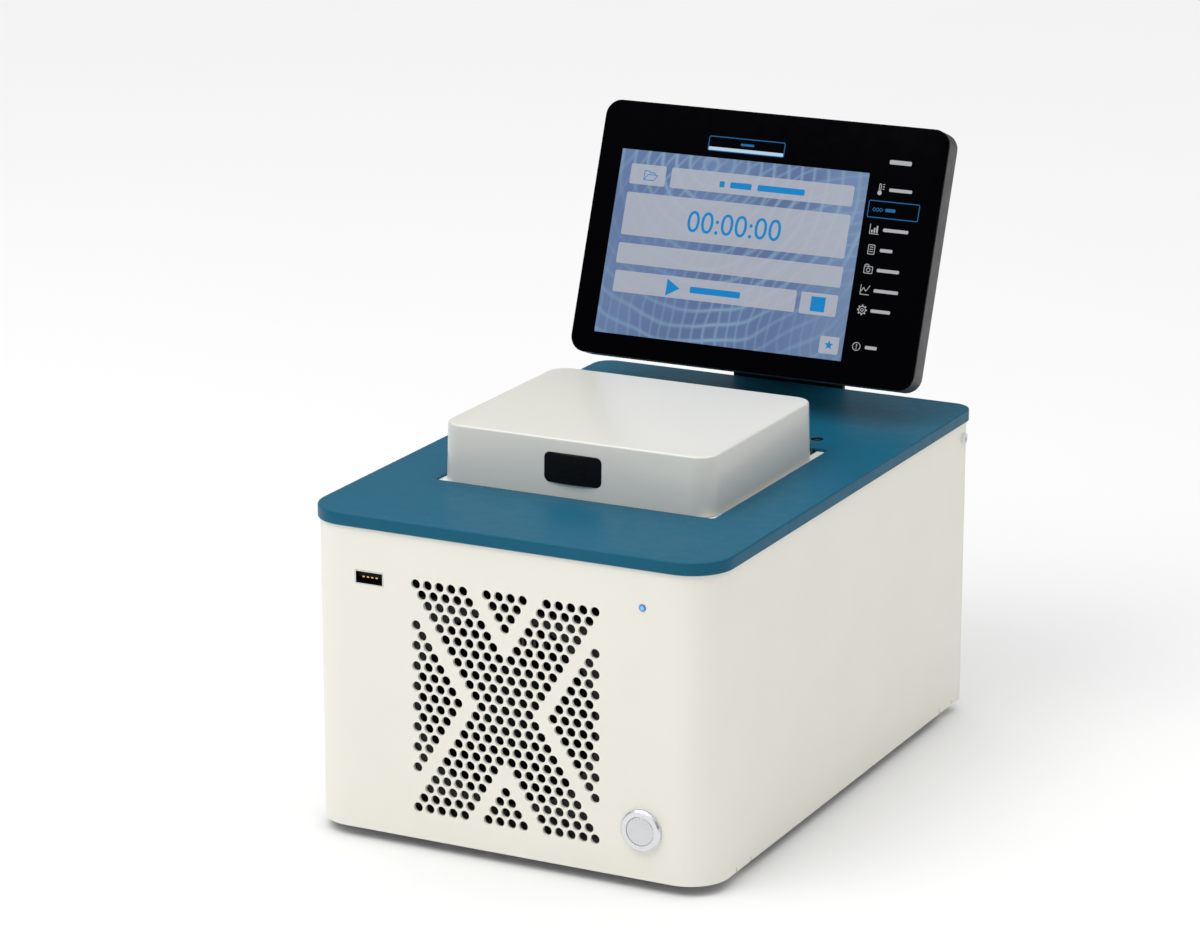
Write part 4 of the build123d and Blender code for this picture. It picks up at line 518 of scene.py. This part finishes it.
FINISHES: dict[str, object] = {
    "case_paint": Coating("case_powder_coat", WHITE_PAINT, 0.42, 0.8, 0.018, 0.012),
    "plate_paint": Coating("plate_powder_coat", TEAL_PAINT, 0.42, 0.7, 0.012, 0.03, gloss=0.15),
    "frame_white": Coating("frame_moulding", shade(236, 236, 230), 0.5, 0.5, 0.015, 0.015),
    "lid_plastic": Coating("lid_moulding", shade(230, 229, 221), 0.3, 0.5, 0.0, 0.006, 0.3, patchiness=0.003),
    "screw_white": Coating("screw_paint", shade(232, 232, 226), 0.4, 0.5, 0.01, 0.02),
    "screw_black": Metal("black_oxide", (0.03, 0.03, 0.032), 0.35, Lay.EVEN, contrast=0.3),
    "foot_rubber": Coating("foot_rubber", shade(30, 30, 31), 0.8, 0.6, 0.05, 0.1),
    # Foam seal behind the vent holes: its own dark grey, darkened further as painted shade so it reads as the
    # shadow inside the case.
    "seal_rubber": Coating("foam_seal_darkened_for_vent_shade", shade(22, 22, 24), 0.9, 0.4, 0.12, 0.12),
    # Black plastic, as on the fan: its own black, darkened further as painted shade so the fan behind the
    # vent holes reads as shadow.
    "black_plastic": Coating("black_moulding_darkened_for_vent_shade", shade(13, 15, 18), 0.5, 0.45, 0.012, 0.08, gloss=0.1),
    "bracket_paint": Coating("bracket_powder_coat", shade(11, 12, 15), 0.5, 0.6, 0.015, 0.08, gloss=0.1),
    "housing_plastic": Coating("housing_moulding", shade(66, 66, 68), 0.45, 0.4, 0.02, 0.05),
    "panel_plastic": Coating("panel_film", shade(70, 72, 78), 0.3, 0.9, 0.004, 0.05, 0.4),
    "ceramic_white": Coating("ceramic", shade(238, 238, 234), 0.6, 0.3, 0.02, 0.02),
    "foam_grey": Coating("insulating_foam", shade(128, 130, 134), 0.95, 0.8, 0.25, 0.1),
    "mat_rubber": Coating("silicone_mat", shade(176, 84, 48), 0.55, 1.2, 0.05, 0.06),
    "display_glass": Coating("black_backed_glass", shade(3, 3, 5), 0.12, 4.0, 0.0, 0.1, gloss=0.02),
    "zinc_steel": Metal("zinc_plated_sheet", (0.62, 0.63, 0.64), 0.36, Lay.EVEN, contrast=0.12),
    "plated_metal": Metal("nickel_plate", (0.72, 0.71, 0.69), 0.18, Lay.EVEN, contrast=0.05),
    "washer_steel": Metal("washer_steel", (0.5, 0.5, 0.52), 0.4, Lay.EVEN, contrast=0.15),
    "spring_steel": Metal("spring_steel", (0.55, 0.56, 0.58), 0.25, Lay.EVEN, contrast=0.1),
    "hook_steel": Metal("blanked_steel", (0.5, 0.51, 0.53), 0.34, Lay.ALONG_X, contrast=0.14),
    "brass_post": Metal("brass", (0.72, 0.56, 0.27), 0.28, Lay.EVEN, contrast=0.08),
    "block_aluminium": Metal("milled_aluminium", (0.8, 0.81, 0.82), 0.32, Lay.ALONG_X, contrast=0.06),
    "sink_aluminium": Metal("extruded_aluminium", (0.7, 0.71, 0.72), 0.4, Lay.ALONG_Y, contrast=0.08),
    "carrier_aluminium": Metal("sheet_aluminium", (0.74, 0.75, 0.76), 0.38, Lay.ALONG_X, contrast=0.07),
    "button_steel": Metal("turned_steel", (0.74, 0.75, 0.77), 0.3, Lay.SPUN, BUTTON_AXIS, 0.04, 0.003),
    "button_cap": Metal("spun_steel", (0.68, 0.69, 0.71), 0.34, Lay.SPUN, BUTTON_AXIS, 0.12, 0.004),
    "board_green": SolderMask("board_laminate", shade(24, 96, 52)),
    "clear_plastic": Lens("blue_lens", LIGHT_AXIS, 1.75 * MM, shade(90, 170, 255), shade(6, 18, 90), 0.9),
}


@dataclass
class Casework:
    """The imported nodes, each dressed in the finish of its material slot."""

    split_angle: float = 32.0
    weld_distance: float = 0.002 * MM

    def dress(self) -> None:
        """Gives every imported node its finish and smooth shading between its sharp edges."""
        made = {slot: finish.material() for slot, finish in FINISHES.items()}
        slots = {entry["node"]: entry["material_slot"] for entry in frame["record"]["subparts"]}
        for name, node in frame["nodes"].items():
            node.data.materials.clear()
            node.data.materials.append(made[slots[name]])
            self.smooth(node)
            log.info("dressed %s in %s", name, slots[name])

    def smooth(self, node: bpy.types.Object) -> None:
        """Adds live weld and edge split modifiers, which leave the mesh itself as packed.

        Args:
            node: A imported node.
        """
        weld = node.modifiers.new("weld", "WELD")
        weld.merge_threshold = self.weld_distance
        split = node.modifiers.new("split", "EDGE_SPLIT")
        split.split_angle = math.radians(self.split_angle)
        node.data.polygons.foreach_set("use_smooth", [True] * len(node.data.polygons))


class Bench:
    """Modelling by operators, one piece at a time, in a flat drawing of millimetres."""

    @staticmethod
    def add(operator: Callable[..., object], **settings: object) -> bpy.types.Object:
        """Adds a piece that is the only selected one.

        Args:
            operator: The operator that adds it.
            **settings: The operator's settings.

        Returns:
            The new piece.
        """
        bpy.ops.object.select_all(action="DESELECT")
        operator(**settings)
        return bpy.context.view_layer.objects.active

    @staticmethod
    def alone(piece: bpy.types.Object) -> None:
        """Makes a piece the only selected one.

        Args:
            piece: The piece.
        """
        bpy.ops.object.select_all(action="DESELECT")
        piece.select_set(True)
        bpy.context.view_layer.objects.active = piece

    @staticmethod
    def settle(piece: bpy.types.Object) -> None:
        """Applies a piece's place, turn and scale to its mesh.

        Args:
            piece: The piece.
        """
        Bench.alone(piece)
        bpy.ops.object.transform_apply(location=True, rotation=True, scale=True)

    @staticmethod
    def bevel(piece: bpy.types.Object, width: float, segments: int, affect: str) -> None:
        """Bevels all corners or all edges of a piece.

        Args:
            piece: The piece.
            width: The bevel's width in metres.
            segments: Number of segments.
            affect: VERTICES or EDGES.
        """
        Bench.alone(piece)
        bpy.ops.object.mode_set(mode="EDIT")
        bpy.ops.mesh.select_all(action="SELECT")
        bpy.ops.mesh.bevel(offset=width, segments=segments, affect=affect)
        bpy.ops.object.mode_set(mode="OBJECT")

    @staticmethod
    def thicken(piece: bpy.types.Object, thickness: float) -> bpy.types.Object:
        """Extrudes a flat piece upwards into a thin plate with its faces outwards.

        Args:
            piece: A flat piece in the drawing's plane.
            thickness: Plate thickness in metres.

        Returns:
            The piece.
        """
        Bench.alone(piece)
        bpy.ops.object.mode_set(mode="EDIT")
        bpy.ops.mesh.select_all(action="SELECT")
        bpy.ops.mesh.extrude_region_move(TRANSFORM_OT_translate={"value": (0.0, 0.0, thickness)})
        bpy.ops.mesh.select_all(action="SELECT")
        bpy.ops.mesh.normals_make_consistent(inside=False)
        bpy.ops.object.mode_set(mode="OBJECT")
        return piece

    @staticmethod
    def hollow(piece: bpy.types.Object, width: float) -> bpy.types.Object:
        """Turns a flat face into an outline of one width by an inset whose middle is removed.

        Args:
            piece: A flat piece of one face.
            width: The outline's width in metres.

        Returns:
            The piece.
        """
        Bench.alone(piece)
        bpy.ops.object.mode_set(mode="EDIT")
        bpy.ops.mesh.select_mode(type="FACE")
        bpy.ops.mesh.select_all(action="SELECT")
        bpy.ops.mesh.inset(thickness=width)
        bpy.ops.mesh.delete(type="FACE")
        bpy.ops.object.mode_set(mode="OBJECT")
        return piece

    @staticmethod
    def join(pieces: list[bpy.types.Object], name: str) -> bpy.types.Object:
        """Joins pieces into one named piece.

        Args:
            pieces: The pieces to join.
            name: The result's name.

        Returns:
            The joined piece.
        """
        bpy.ops.object.select_all(action="DESELECT")
        for piece in pieces:
            piece.select_set(True)
        bpy.context.view_layer.objects.active = pieces[0]
        if len(pieces) > 1:
            bpy.ops.object.join()
        joined = bpy.context.view_layer.objects.active
        joined.name = name
        joined.data.name = name
        return joined


@dataclass
class Drawing:
    """Flat shapes at one height, drawn in millimetres from the screen's lower left corner."""

    height: float
    thickness: float

    def finish(self, piece: bpy.types.Object, outline: float) -> bpy.types.Object:
        """Hollows a shape if it is an outline, and makes it a thin plate.

        Args:
            piece: A flat shape.
            outline: Outline width, or 0 for a filled shape.

        Returns:
            The shape.
        """
        if outline:
            Bench.hollow(piece, outline * MM)
        return Bench.thicken(piece, self.thickness * MM)

    def plate(
        self, low: Point, high: Point, radius: float = 0.0, outline: float = 0.0, turn: float = 0.0
    ) -> bpy.types.Object:
        """Draws a rectangle, plain, rounded or outlined.

        Args:
            low: Lower left corner.
            high: Upper right corner.
            radius: Corner radius.
            outline: Outline width, or 0 for a filled shape.
            turn: Turn about its middle, in degrees.

        Returns:
            The shape.
        """
        middle = ((low[0] + high[0]) / 2 * MM, (low[1] + high[1]) / 2 * MM, self.height * MM)
        angles = (0.0, 0.0, math.radians(turn))
        add = bpy.ops.mesh.primitive_plane_add
        piece = Bench.add(add, size=1.0, location=middle, rotation=angles)
        piece.scale = ((high[0] - low[0]) * MM, (high[1] - low[1]) * MM, 1.0)
        Bench.settle(piece)
        if radius:
            Bench.bevel(piece, radius * MM, 4, "VERTICES")
        return self.finish(piece, outline)

    def disc(
        self, middle: Point, radius: float, sides: int = 24, outline: float = 0.0, turn: float = 0.0
    ) -> bpy.types.Object:
        """Draws a disc or a regular polygon, filled or outlined.

        Args:
            middle: Its middle.
            radius: Its outer radius.
            sides: Number of sides.
            outline: Outline width, or 0 for a filled shape.
            turn: Turn in degrees.

        Returns:
            The shape.
        """
        piece = Bench.add(
            bpy.ops.mesh.primitive_circle_add,
            vertices=sides,
            radius=radius * MM,
            fill_type="NGON",
            location=(middle[0] * MM, middle[1] * MM, self.height * MM),
            rotation=(0.0, 0.0, math.radians(turn)),
        )
        Bench.settle(piece)
        return self.finish(piece, outline)

    def star(
        self, middle: Point, radius: float, points: int = 5, waist: float = 0.45
    ) -> bpy.types.Object:
        """Draws a filled star by pulling every other corner of a polygon inwards.

        Args:
            middle: Its middle.
            radius: Its outer radius.
            points: Number of points.
            waist: Inner radius as a share of the outer one.

        Returns:
            The shape.
        """
        piece = self.disc(middle, radius, 2 * points)
        centre = Vector((middle[0] * MM, middle[1] * MM, 0.0))
        for vertex in piece.data.vertices:
            arm = Vector((vertex.co.x, vertex.co.y, 0.0)) - centre
            step = round(math.atan2(arm.x, arm.y) / math.pi * points)
            if step % 2:
                vertex.co = Vector((centre.x + arm.x * waist, centre.y + arm.y * waist, vertex.co.z))
        return piece

    def stroke(self, start: Point, end: Point, width: float) -> bpy.types.Object:
        """Draws a straight line between two points.

        Args:
            start: Its first end.
            end: Its other end.
            width: Its width.

        Returns:
            The line.
        """
        run = math.hypot(end[0] - start[0], end[1] - start[1])
        middle = ((start[0] + end[0]) / 2, (start[1] + end[1]) / 2)
        turn = math.degrees(math.atan2(end[1] - start[1], end[0] - start[0]))
        low = (middle[0] - run / 2, middle[1] - width / 2)
        high = (middle[0] + run / 2, middle[1] + width / 2)
        return self.plate(low, high, turn=turn)

    def strokes(self, points: list[Point], width: float) -> list[bpy.types.Object]:
        """Draws a line through several points.

        Args:
            points: The points, in order.
            width: The line's width.

        Returns:
            The line's straight pieces.
        """
        return [self.stroke(a, b, width) for a, b in zip(points, points[1:])]

    def digits(self, text: str, low: Point, high: Point) -> bpy.types.Object:
        """Draws digits that fill a rectangle.

        Args:
            text: The digits.
            low: Lower left corner.
            high: Upper right corner.

        Returns:
            The digits as one mesh.
        """
        piece = Bench.add(bpy.ops.object.text_add, location=(0.0, 0.0, 0.0))
        piece.data.body = text
        piece.data.resolution_u = 4
        bpy.ops.object.convert(target="MESH")
        piece = bpy.context.view_layer.objects.active
        xs = [v.co.x for v in piece.data.vertices]
        ys = [v.co.y for v in piece.data.vertices]
        wide = (high[0] - low[0]) * MM / (max(xs) - min(xs))
        tall = (high[1] - low[1]) * MM / (max(ys) - min(ys))
        piece.scale = (wide, tall, 1.0)
        left, foot = low[0] * MM - min(xs) * wide, low[1] * MM - min(ys) * tall
        piece.location = (left, foot, self.height * MM)
        Bench.settle(piece)
        return Bench.thicken(piece, self.thickness * MM)


@dataclass
class Screen:
    """What the display shows: a picture, pale cards, a clock, buttons and a menu of plain signs."""

    width: float = 181.2
    corner_y: float = 88.24
    corner_z: float = 170.75
    tilt: float = 20.15
    ink: float = 0.02
    picture_level: float = 0.01
    line_level: float = 0.03
    card_level: float = 0.04
    bar_level: float = 0.06
    mark_level: float = 0.07
    corner_radius: float = 0.9
    card_veil: float = 0.82
    stroke_width: float = 0.42
    sign_width: float = 0.34
    sign_x: float = 150.2
    word_x: float = 154.6
    word_half_height: float = 0.8
    words: tuple[Point, ...] = (
        (94.3, 11.7),
        (75.0, 12.9),
        (65.2, 6.4),
        (55.6, 11.4),
        (45.8, 12.5),
        (36.1, 10.0),
        (18.5, 6.1),
    )

    def plane(self) -> Matrix:
        """Returns the matrix from the drawing to the display's front."""
        tilt = math.radians(self.tilt)
        right = Vector((1.0, 0.0, 0.0))
        up = Vector((0.0, math.sin(tilt), math.cos(tilt)))
        out = Vector((0.0, -math.cos(tilt), math.sin(tilt)))
        turn = Matrix((right, up, out)).transposed().to_4x4()
        place = Matrix.Translation((-self.width / 2 * MM, self.corner_y * MM, self.corner_z * MM))
        return place @ turn

    def mount(self, pieces: list[bpy.types.Object], name: str, finish: object) -> None:
        """Joins shapes, lays them on the display's front, dresses them and ties them to the display.

        Args:
            pieces: Shapes of one layer.
            name: The piece's name.
            finish: Its finish.
        """
        piece = Bench.join(pieces, name)
        piece.matrix_world = self.plane()
        Bench.settle(piece)
        piece.data.materials.clear()
        piece.data.materials.append(finish.material())
        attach(piece, "display")
        log.info("made %s", name)

    def build(self) -> None:
        """Makes the screen's layers from the back to the front."""
        self.picture()
        self.cards()
        self.marks()
        self.outlines()
        self.menu()

    def picture(self) -> None:
        """Makes the picture behind the cards."""
        picture = Drawing(self.picture_level, self.ink).plate((12.2, 10.6), (143.4, 101.4))
        self.mount([picture], "screen_picture", ScreenPicture("screen_picture"))

    def cards(self) -> None:
        """Makes the pale cards."""
        layer = Drawing(self.card_level, self.ink)
        spans = (
            ((18.4, 84.6), (37.4, 94.6)),
            ((40.3, 84.5), (136.9, 94.5)),
            ((18.2, 59.4), (137.1, 80.5)),
            ((18.0, 45.3), (137.4, 55.4)),
            ((18.6, 31.2), (115.6, 41.8)),
            ((118.0, 31.1), (137.1, 41.6)),
            ((131.2, 13.3), (141.2, 21.7)),
        )
        pieces = [layer.plate(low, high, self.corner_radius) for low, high in spans]
        self.mount(pieces, "screen_cards", ScreenPicture("screen_card", veil=self.card_veil))

    def marks(self) -> None:
        """Makes the blue marks on the cards: clock, heading bars, folder, play, stop and star."""
        layer = Drawing(self.mark_level, self.ink)
        pieces = [layer.digits("00:00:00", (52.8, 64.0), (102.4, 74.6))]
        for low, high in ((66.6, 69.3), (72.3, 83.6), (86.8, 111.6)):
            pieces.append(layer.plate((low, 87.3), (high, 90.3), 0.6))
        pieces.append(layer.plate((59.6, 34.6), (86.4, 37.7), 0.6))
        pieces.append(layer.disc((49.4, 36.1), 4.8, 3, turn=-90.0))
        pieces.append(layer.plate((123.5, 32.7), (131.0, 39.9)))
        pieces.append(layer.star((136.1, 17.5), 2.4))
        tray = [(26.0, 87.2), (26.0, 91.6), (28.2, 91.6), (29.0, 90.8), (31.6, 90.8), (31.6, 89.6)]
        pieces += layer.strokes(tray, self.stroke_width)
        flap = [(25.9, 87.1), (31.4, 87.1), (33.2, 89.8), (27.8, 89.8), (26.2, 87.3)]
        pieces += layer.strokes(flap, 0.4)
        self.mount(pieces, "screen_marks", ScreenInk("screen_blue", shade(16, 130, 196), 0.75, 0.03))

    def outlines(self) -> None:
        """Makes the tab above the picture and the frame of the chosen menu line."""
        layer = Drawing(self.line_level, self.ink)
        frames = [
            layer.plate((57.4, 104.6), (97.9, 111.9), self.corner_radius, self.stroke_width),
            layer.plate((145.2, 80.4), (171.5, 88.8), self.corner_radius, self.stroke_width),
            layer.plate((74.5, 108.2), (81.6, 109.4), 0.4),
            layer.plate((154.2, 83.7), (159.4, 85.3), 0.5),
        ]
        frames += [layer.disc((148.6 + 1.7 * step, 84.4), 1.1, 4, 0.3) for step in range(3)]
        self.mount(frames, "screen_outlines", ScreenInk("screen_line_blue", shade(28, 104, 160), 0.7))
        bar = Drawing(self.bar_level, self.ink)
        self.mount(
            [bar.plate((57.9, 105.0), (97.4, 106.6), 0.3)],
            "screen_tab_bar",
            ScreenInk("screen_pale_blue", shade(186, 214, 234), 0.7),
        )

    def menu(self) -> None:
        """Makes the menu's signs, with a plain bar for each word."""
        layer = Drawing(self.line_level, self.ink)
        pieces = [layer.plate((152.7, 106.6), (164.0, 108.7), 0.6)]
        for y, length in self.words:
            low = (self.word_x, y - self.word_half_height)
            high = (self.word_x + length, y + self.word_half_height)
            pieces.append(layer.plate(low, high, 0.5))
        pieces += self.signs(layer)
        self.mount(pieces, "screen_menu", ScreenInk("screen_white", shade(176, 178, 182), 0.7))

    def signs(self, layer: Drawing) -> list[bpy.types.Object]:
        """Draws the menu's signs, from the top line down.

        Args:
            layer: The layer they lie in.

        Returns:
            The signs' shapes.
        """
        x, width = self.sign_x, self.sign_width
        pieces = [layer.disc((x - 0.3, 92.5), 1.1, 16)]
        pieces.append(layer.plate((x - 0.9, 92.6), (x + 0.3, 97.0), 0.5, width))
        pieces += [layer.stroke((x + 1.0, y), (x + 1.9, y), width) for y in (94.4, 95.5, 96.6)]
        pieces += layer.strokes([(x - 2.3, 77.4), (x - 2.3, 72.7), (x + 2.3, 72.7)], width)
        for step in (0.0, 1.3, 2.6):
            pieces.append(layer.plate((x - 1.6 + step, 73.3), (x - 0.8 + step, 74.6 + step * 0.8)))
        pieces.append(layer.plate((x - 1.8, 62.8), (x + 1.8, 67.6), 0.5, width))
        pieces += [layer.stroke((x - 0.9, y), (x + 0.9, y), width) for y in (64.2, 65.3, 66.4)]
        pieces.append(layer.plate((x - 2.3, 53.6), (x + 2.3, 57.2), 0.5, width))
        hump = [(x - 2.1, 57.2), (x - 1.6, 58.0), (x - 0.2, 58.0), (x + 0.3, 57.2)]
        pieces += layer.strokes(hump, width)
        pieces.append(layer.disc((x, 55.4), 1.1, 16, width))
        pieces += layer.strokes([(x - 2.3, 48.2), (x - 2.3, 43.5), (x + 2.3, 43.5)], width)
        wave = [(x - 1.9, 45.0), (x - 0.8, 46.9), (x + 0.3, 45.1), (x + 1.2, 46.2), (x + 2.2, 48.0)]
        pieces += layer.strokes(wave, width)
        pieces += self.gear(layer, (x, 36.1))
        pieces.append(layer.disc((x, 18.5), 2.1, 20, width))
        pieces.append(layer.plate((x - 0.2, 18.1), (x + 0.2, 19.7)))
        pieces.append(layer.disc((x, 17.4), 0.28, 10))
        return pieces

    def gear(
        self, layer: Drawing, middle: Point, teeth: int = 8, root: float = 1.8, tip: float = 2.5
    ) -> list[bpy.types.Object]:
        """Draws a toothed wheel.

        Args:
            layer: The layer it lies in.
            middle: Its middle.
            teeth: Number of teeth.
            root: Where the teeth start.
            tip: Where they end.

        Returns:
            The wheel's shapes.
        """
        pieces = [layer.disc(middle, 1.9, 20, self.sign_width), layer.disc(middle, 0.85, 14, self.sign_width)]
        for step in range(teeth):
            turn = 2 * math.pi * step / teeth
            inner, outer = (
                (middle[0] + reach * math.cos(turn), middle[1] + reach * math.sin(turn))
                for reach in (root, tip)
            )
            pieces.append(layer.stroke(inner, outer, 0.7))
        return pieces


@dataclass
class Socket:
    """Gilded contact strips on the front socket's tongue, whose tips show at its front edge."""

    x: float = -67.6
    z: float = 123.5
    front_y: float = -149.05
    length: float = 7.0
    pitch: float = 2.2
    count: int = 4
    strip_width: float = 1.04
    strip_height: float = 0.6
    rise: float = 0.15
    edge: float = 0.02

    def build(self) -> None:
        """Makes the strips with bevelled edges and ties them to the chassis."""
        pieces = []
        y, z = self.front_y + self.length / 2, self.z + self.rise
        for step in range(self.count):
            x = self.x + (step - (self.count - 1) / 2) * self.pitch
            place = (x * MM, y * MM, z * MM)
            strip = Bench.add(bpy.ops.mesh.primitive_cube_add, size=1.0, location=place)
            strip.scale = (self.strip_width * MM, self.length * MM, self.strip_height * MM)
            Bench.settle(strip)
            Bench.bevel(strip, self.edge * MM, 1, "EDGES")
            pieces.append(strip)
        contacts = Bench.join(pieces, "socket_contacts")
        gilding = Metal("gilded_strip", (0.85, 0.55, 0.22), 0.25, Lay.ALONG_Y, contrast=0.06)
        contacts.data.materials.append(gilding.material())
        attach(contacts, "chassis")
        log.info("made socket_contacts")


@dataclass
class Studio:
    """Pale floor, one soft lamp, a sky and the camera at the photograph's angle."""

    camera_place: Triple = (0.8092, -1.6639, 0.67345)
    right: Triple = (0.89308, 0.44991, 0.00013)
    up: Triple = (-0.12451, 0.24686, 0.96102)
    back: Triple = (0.43234, -0.85828, 0.27648)
    lens: float = 124.36
    sensor: float = 36.0
    floor_span: float = 14.0
    lamp_place: Triple = (-0.6, -1.0, 1.7)
    lamp_target: Triple = (0.0, 0.0, 0.1)
    lamp_span: float = 1.2
    lamp_power: float = 11.0
    horizon: float = 0.12
    zenith: float = 1.75

    def build(self) -> None:
        """Makes the camera, the floor, the lamp and the world."""
        self.camera()
        self.floor()
        self.lamp()
        self.world()

    def camera(self) -> None:
        """Makes the camera."""
        data = bpy.data.cameras.new("camera")
        data.lens = self.lens
        data.sensor_width = self.sensor
        data.clip_start = 0.05
        data.clip_end = 60.0
        camera = bpy.data.objects.new("camera", data)
        turn = Matrix((self.right, self.up, self.back)).transposed().to_4x4()
        camera.matrix_world = Matrix.Translation(self.camera_place) @ turn
        bpy.context.scene.collection.objects.link(camera)
        bpy.context.scene.camera = camera

    def floor(self) -> None:
        """Makes the pale floor, which keeps the object's shadow."""
        add = bpy.ops.mesh.primitive_plane_add
        floor = Bench.add(add, size=self.floor_span, location=(0.0, 0.0, 0.0))
        floor.name = "floor"
        sheet = NodeSheet("floor_paper")
        sheet.paint((0.92, 0.92, 0.92), 0.004, 3.0)
        sheet.set("Roughness", 0.9)
        sheet.set("Specular IOR Level", 0.0)
        floor.data.materials.append(sheet.material)

    def lamp(self) -> None:
        """Makes the square area lamp above the object."""
        data = bpy.data.lights.new("lamp_top", "AREA")
        data.shape = "SQUARE"
        data.size = self.lamp_span
        data.energy = self.lamp_power
        lamp = bpy.data.objects.new("lamp_top", data)
        lamp.location = self.lamp_place
        aim = Vector(self.lamp_target) - Vector(self.lamp_place)
        lamp.rotation_euler = aim.to_track_quat("-Z", "Y").to_euler()
        bpy.context.scene.collection.objects.link(lamp)

    def world(self) -> None:
        """Makes a sky brighter overhead than at the horizon, which the camera sees as white."""
        world = bpy.data.worlds.new("world")
        bpy.context.scene.world = world
        world.use_nodes = True
        tree = world.node_tree
        ground = tree.nodes["Background"]
        ground.inputs["Color"].default_value = (1.0, 1.0, 1.0, 1.0)
        path = tree.nodes.new("ShaderNodeLightPath")
        place = tree.nodes.new("ShaderNodeTexCoord")
        parts = tree.nodes.new("ShaderNodeSeparateXYZ")
        rise = tree.nodes.new("ShaderNodeMath")
        rise.operation = "MULTIPLY"
        level = tree.nodes.new("ShaderNodeMapRange")
        level.inputs["To Min"].default_value = self.horizon
        level.inputs["To Max"].default_value = self.zenith
        choice = tree.nodes.new("ShaderNodeMix")
        choice.inputs["B"].default_value = 1.0
        for source, target in (
            (place.outputs["Generated"], parts.inputs[0]),
            (parts.outputs["Z"], rise.inputs[0]),
            (parts.outputs["Z"], rise.inputs[1]),
            (rise.outputs[0], level.inputs["Value"]),
            (level.outputs["Result"], choice.inputs["A"]),
            (path.outputs["Is Camera Ray"], choice.inputs["Factor"]),
            (choice.outputs["Result"], ground.inputs["Strength"]),
        ):
            tree.links.new(source, target)


def main() -> None:
    """Builds every sub-assembly in order."""
    logging.basicConfig(level=logging.INFO, format="%(name)s: %(message)s")
    bpy.context.scene.view_settings.view_transform = "Standard"
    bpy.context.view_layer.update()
    Studio().build()
    Casework().dress()
    Screen().build()
    Socket().build()


if __name__ == "__main__":
    main()
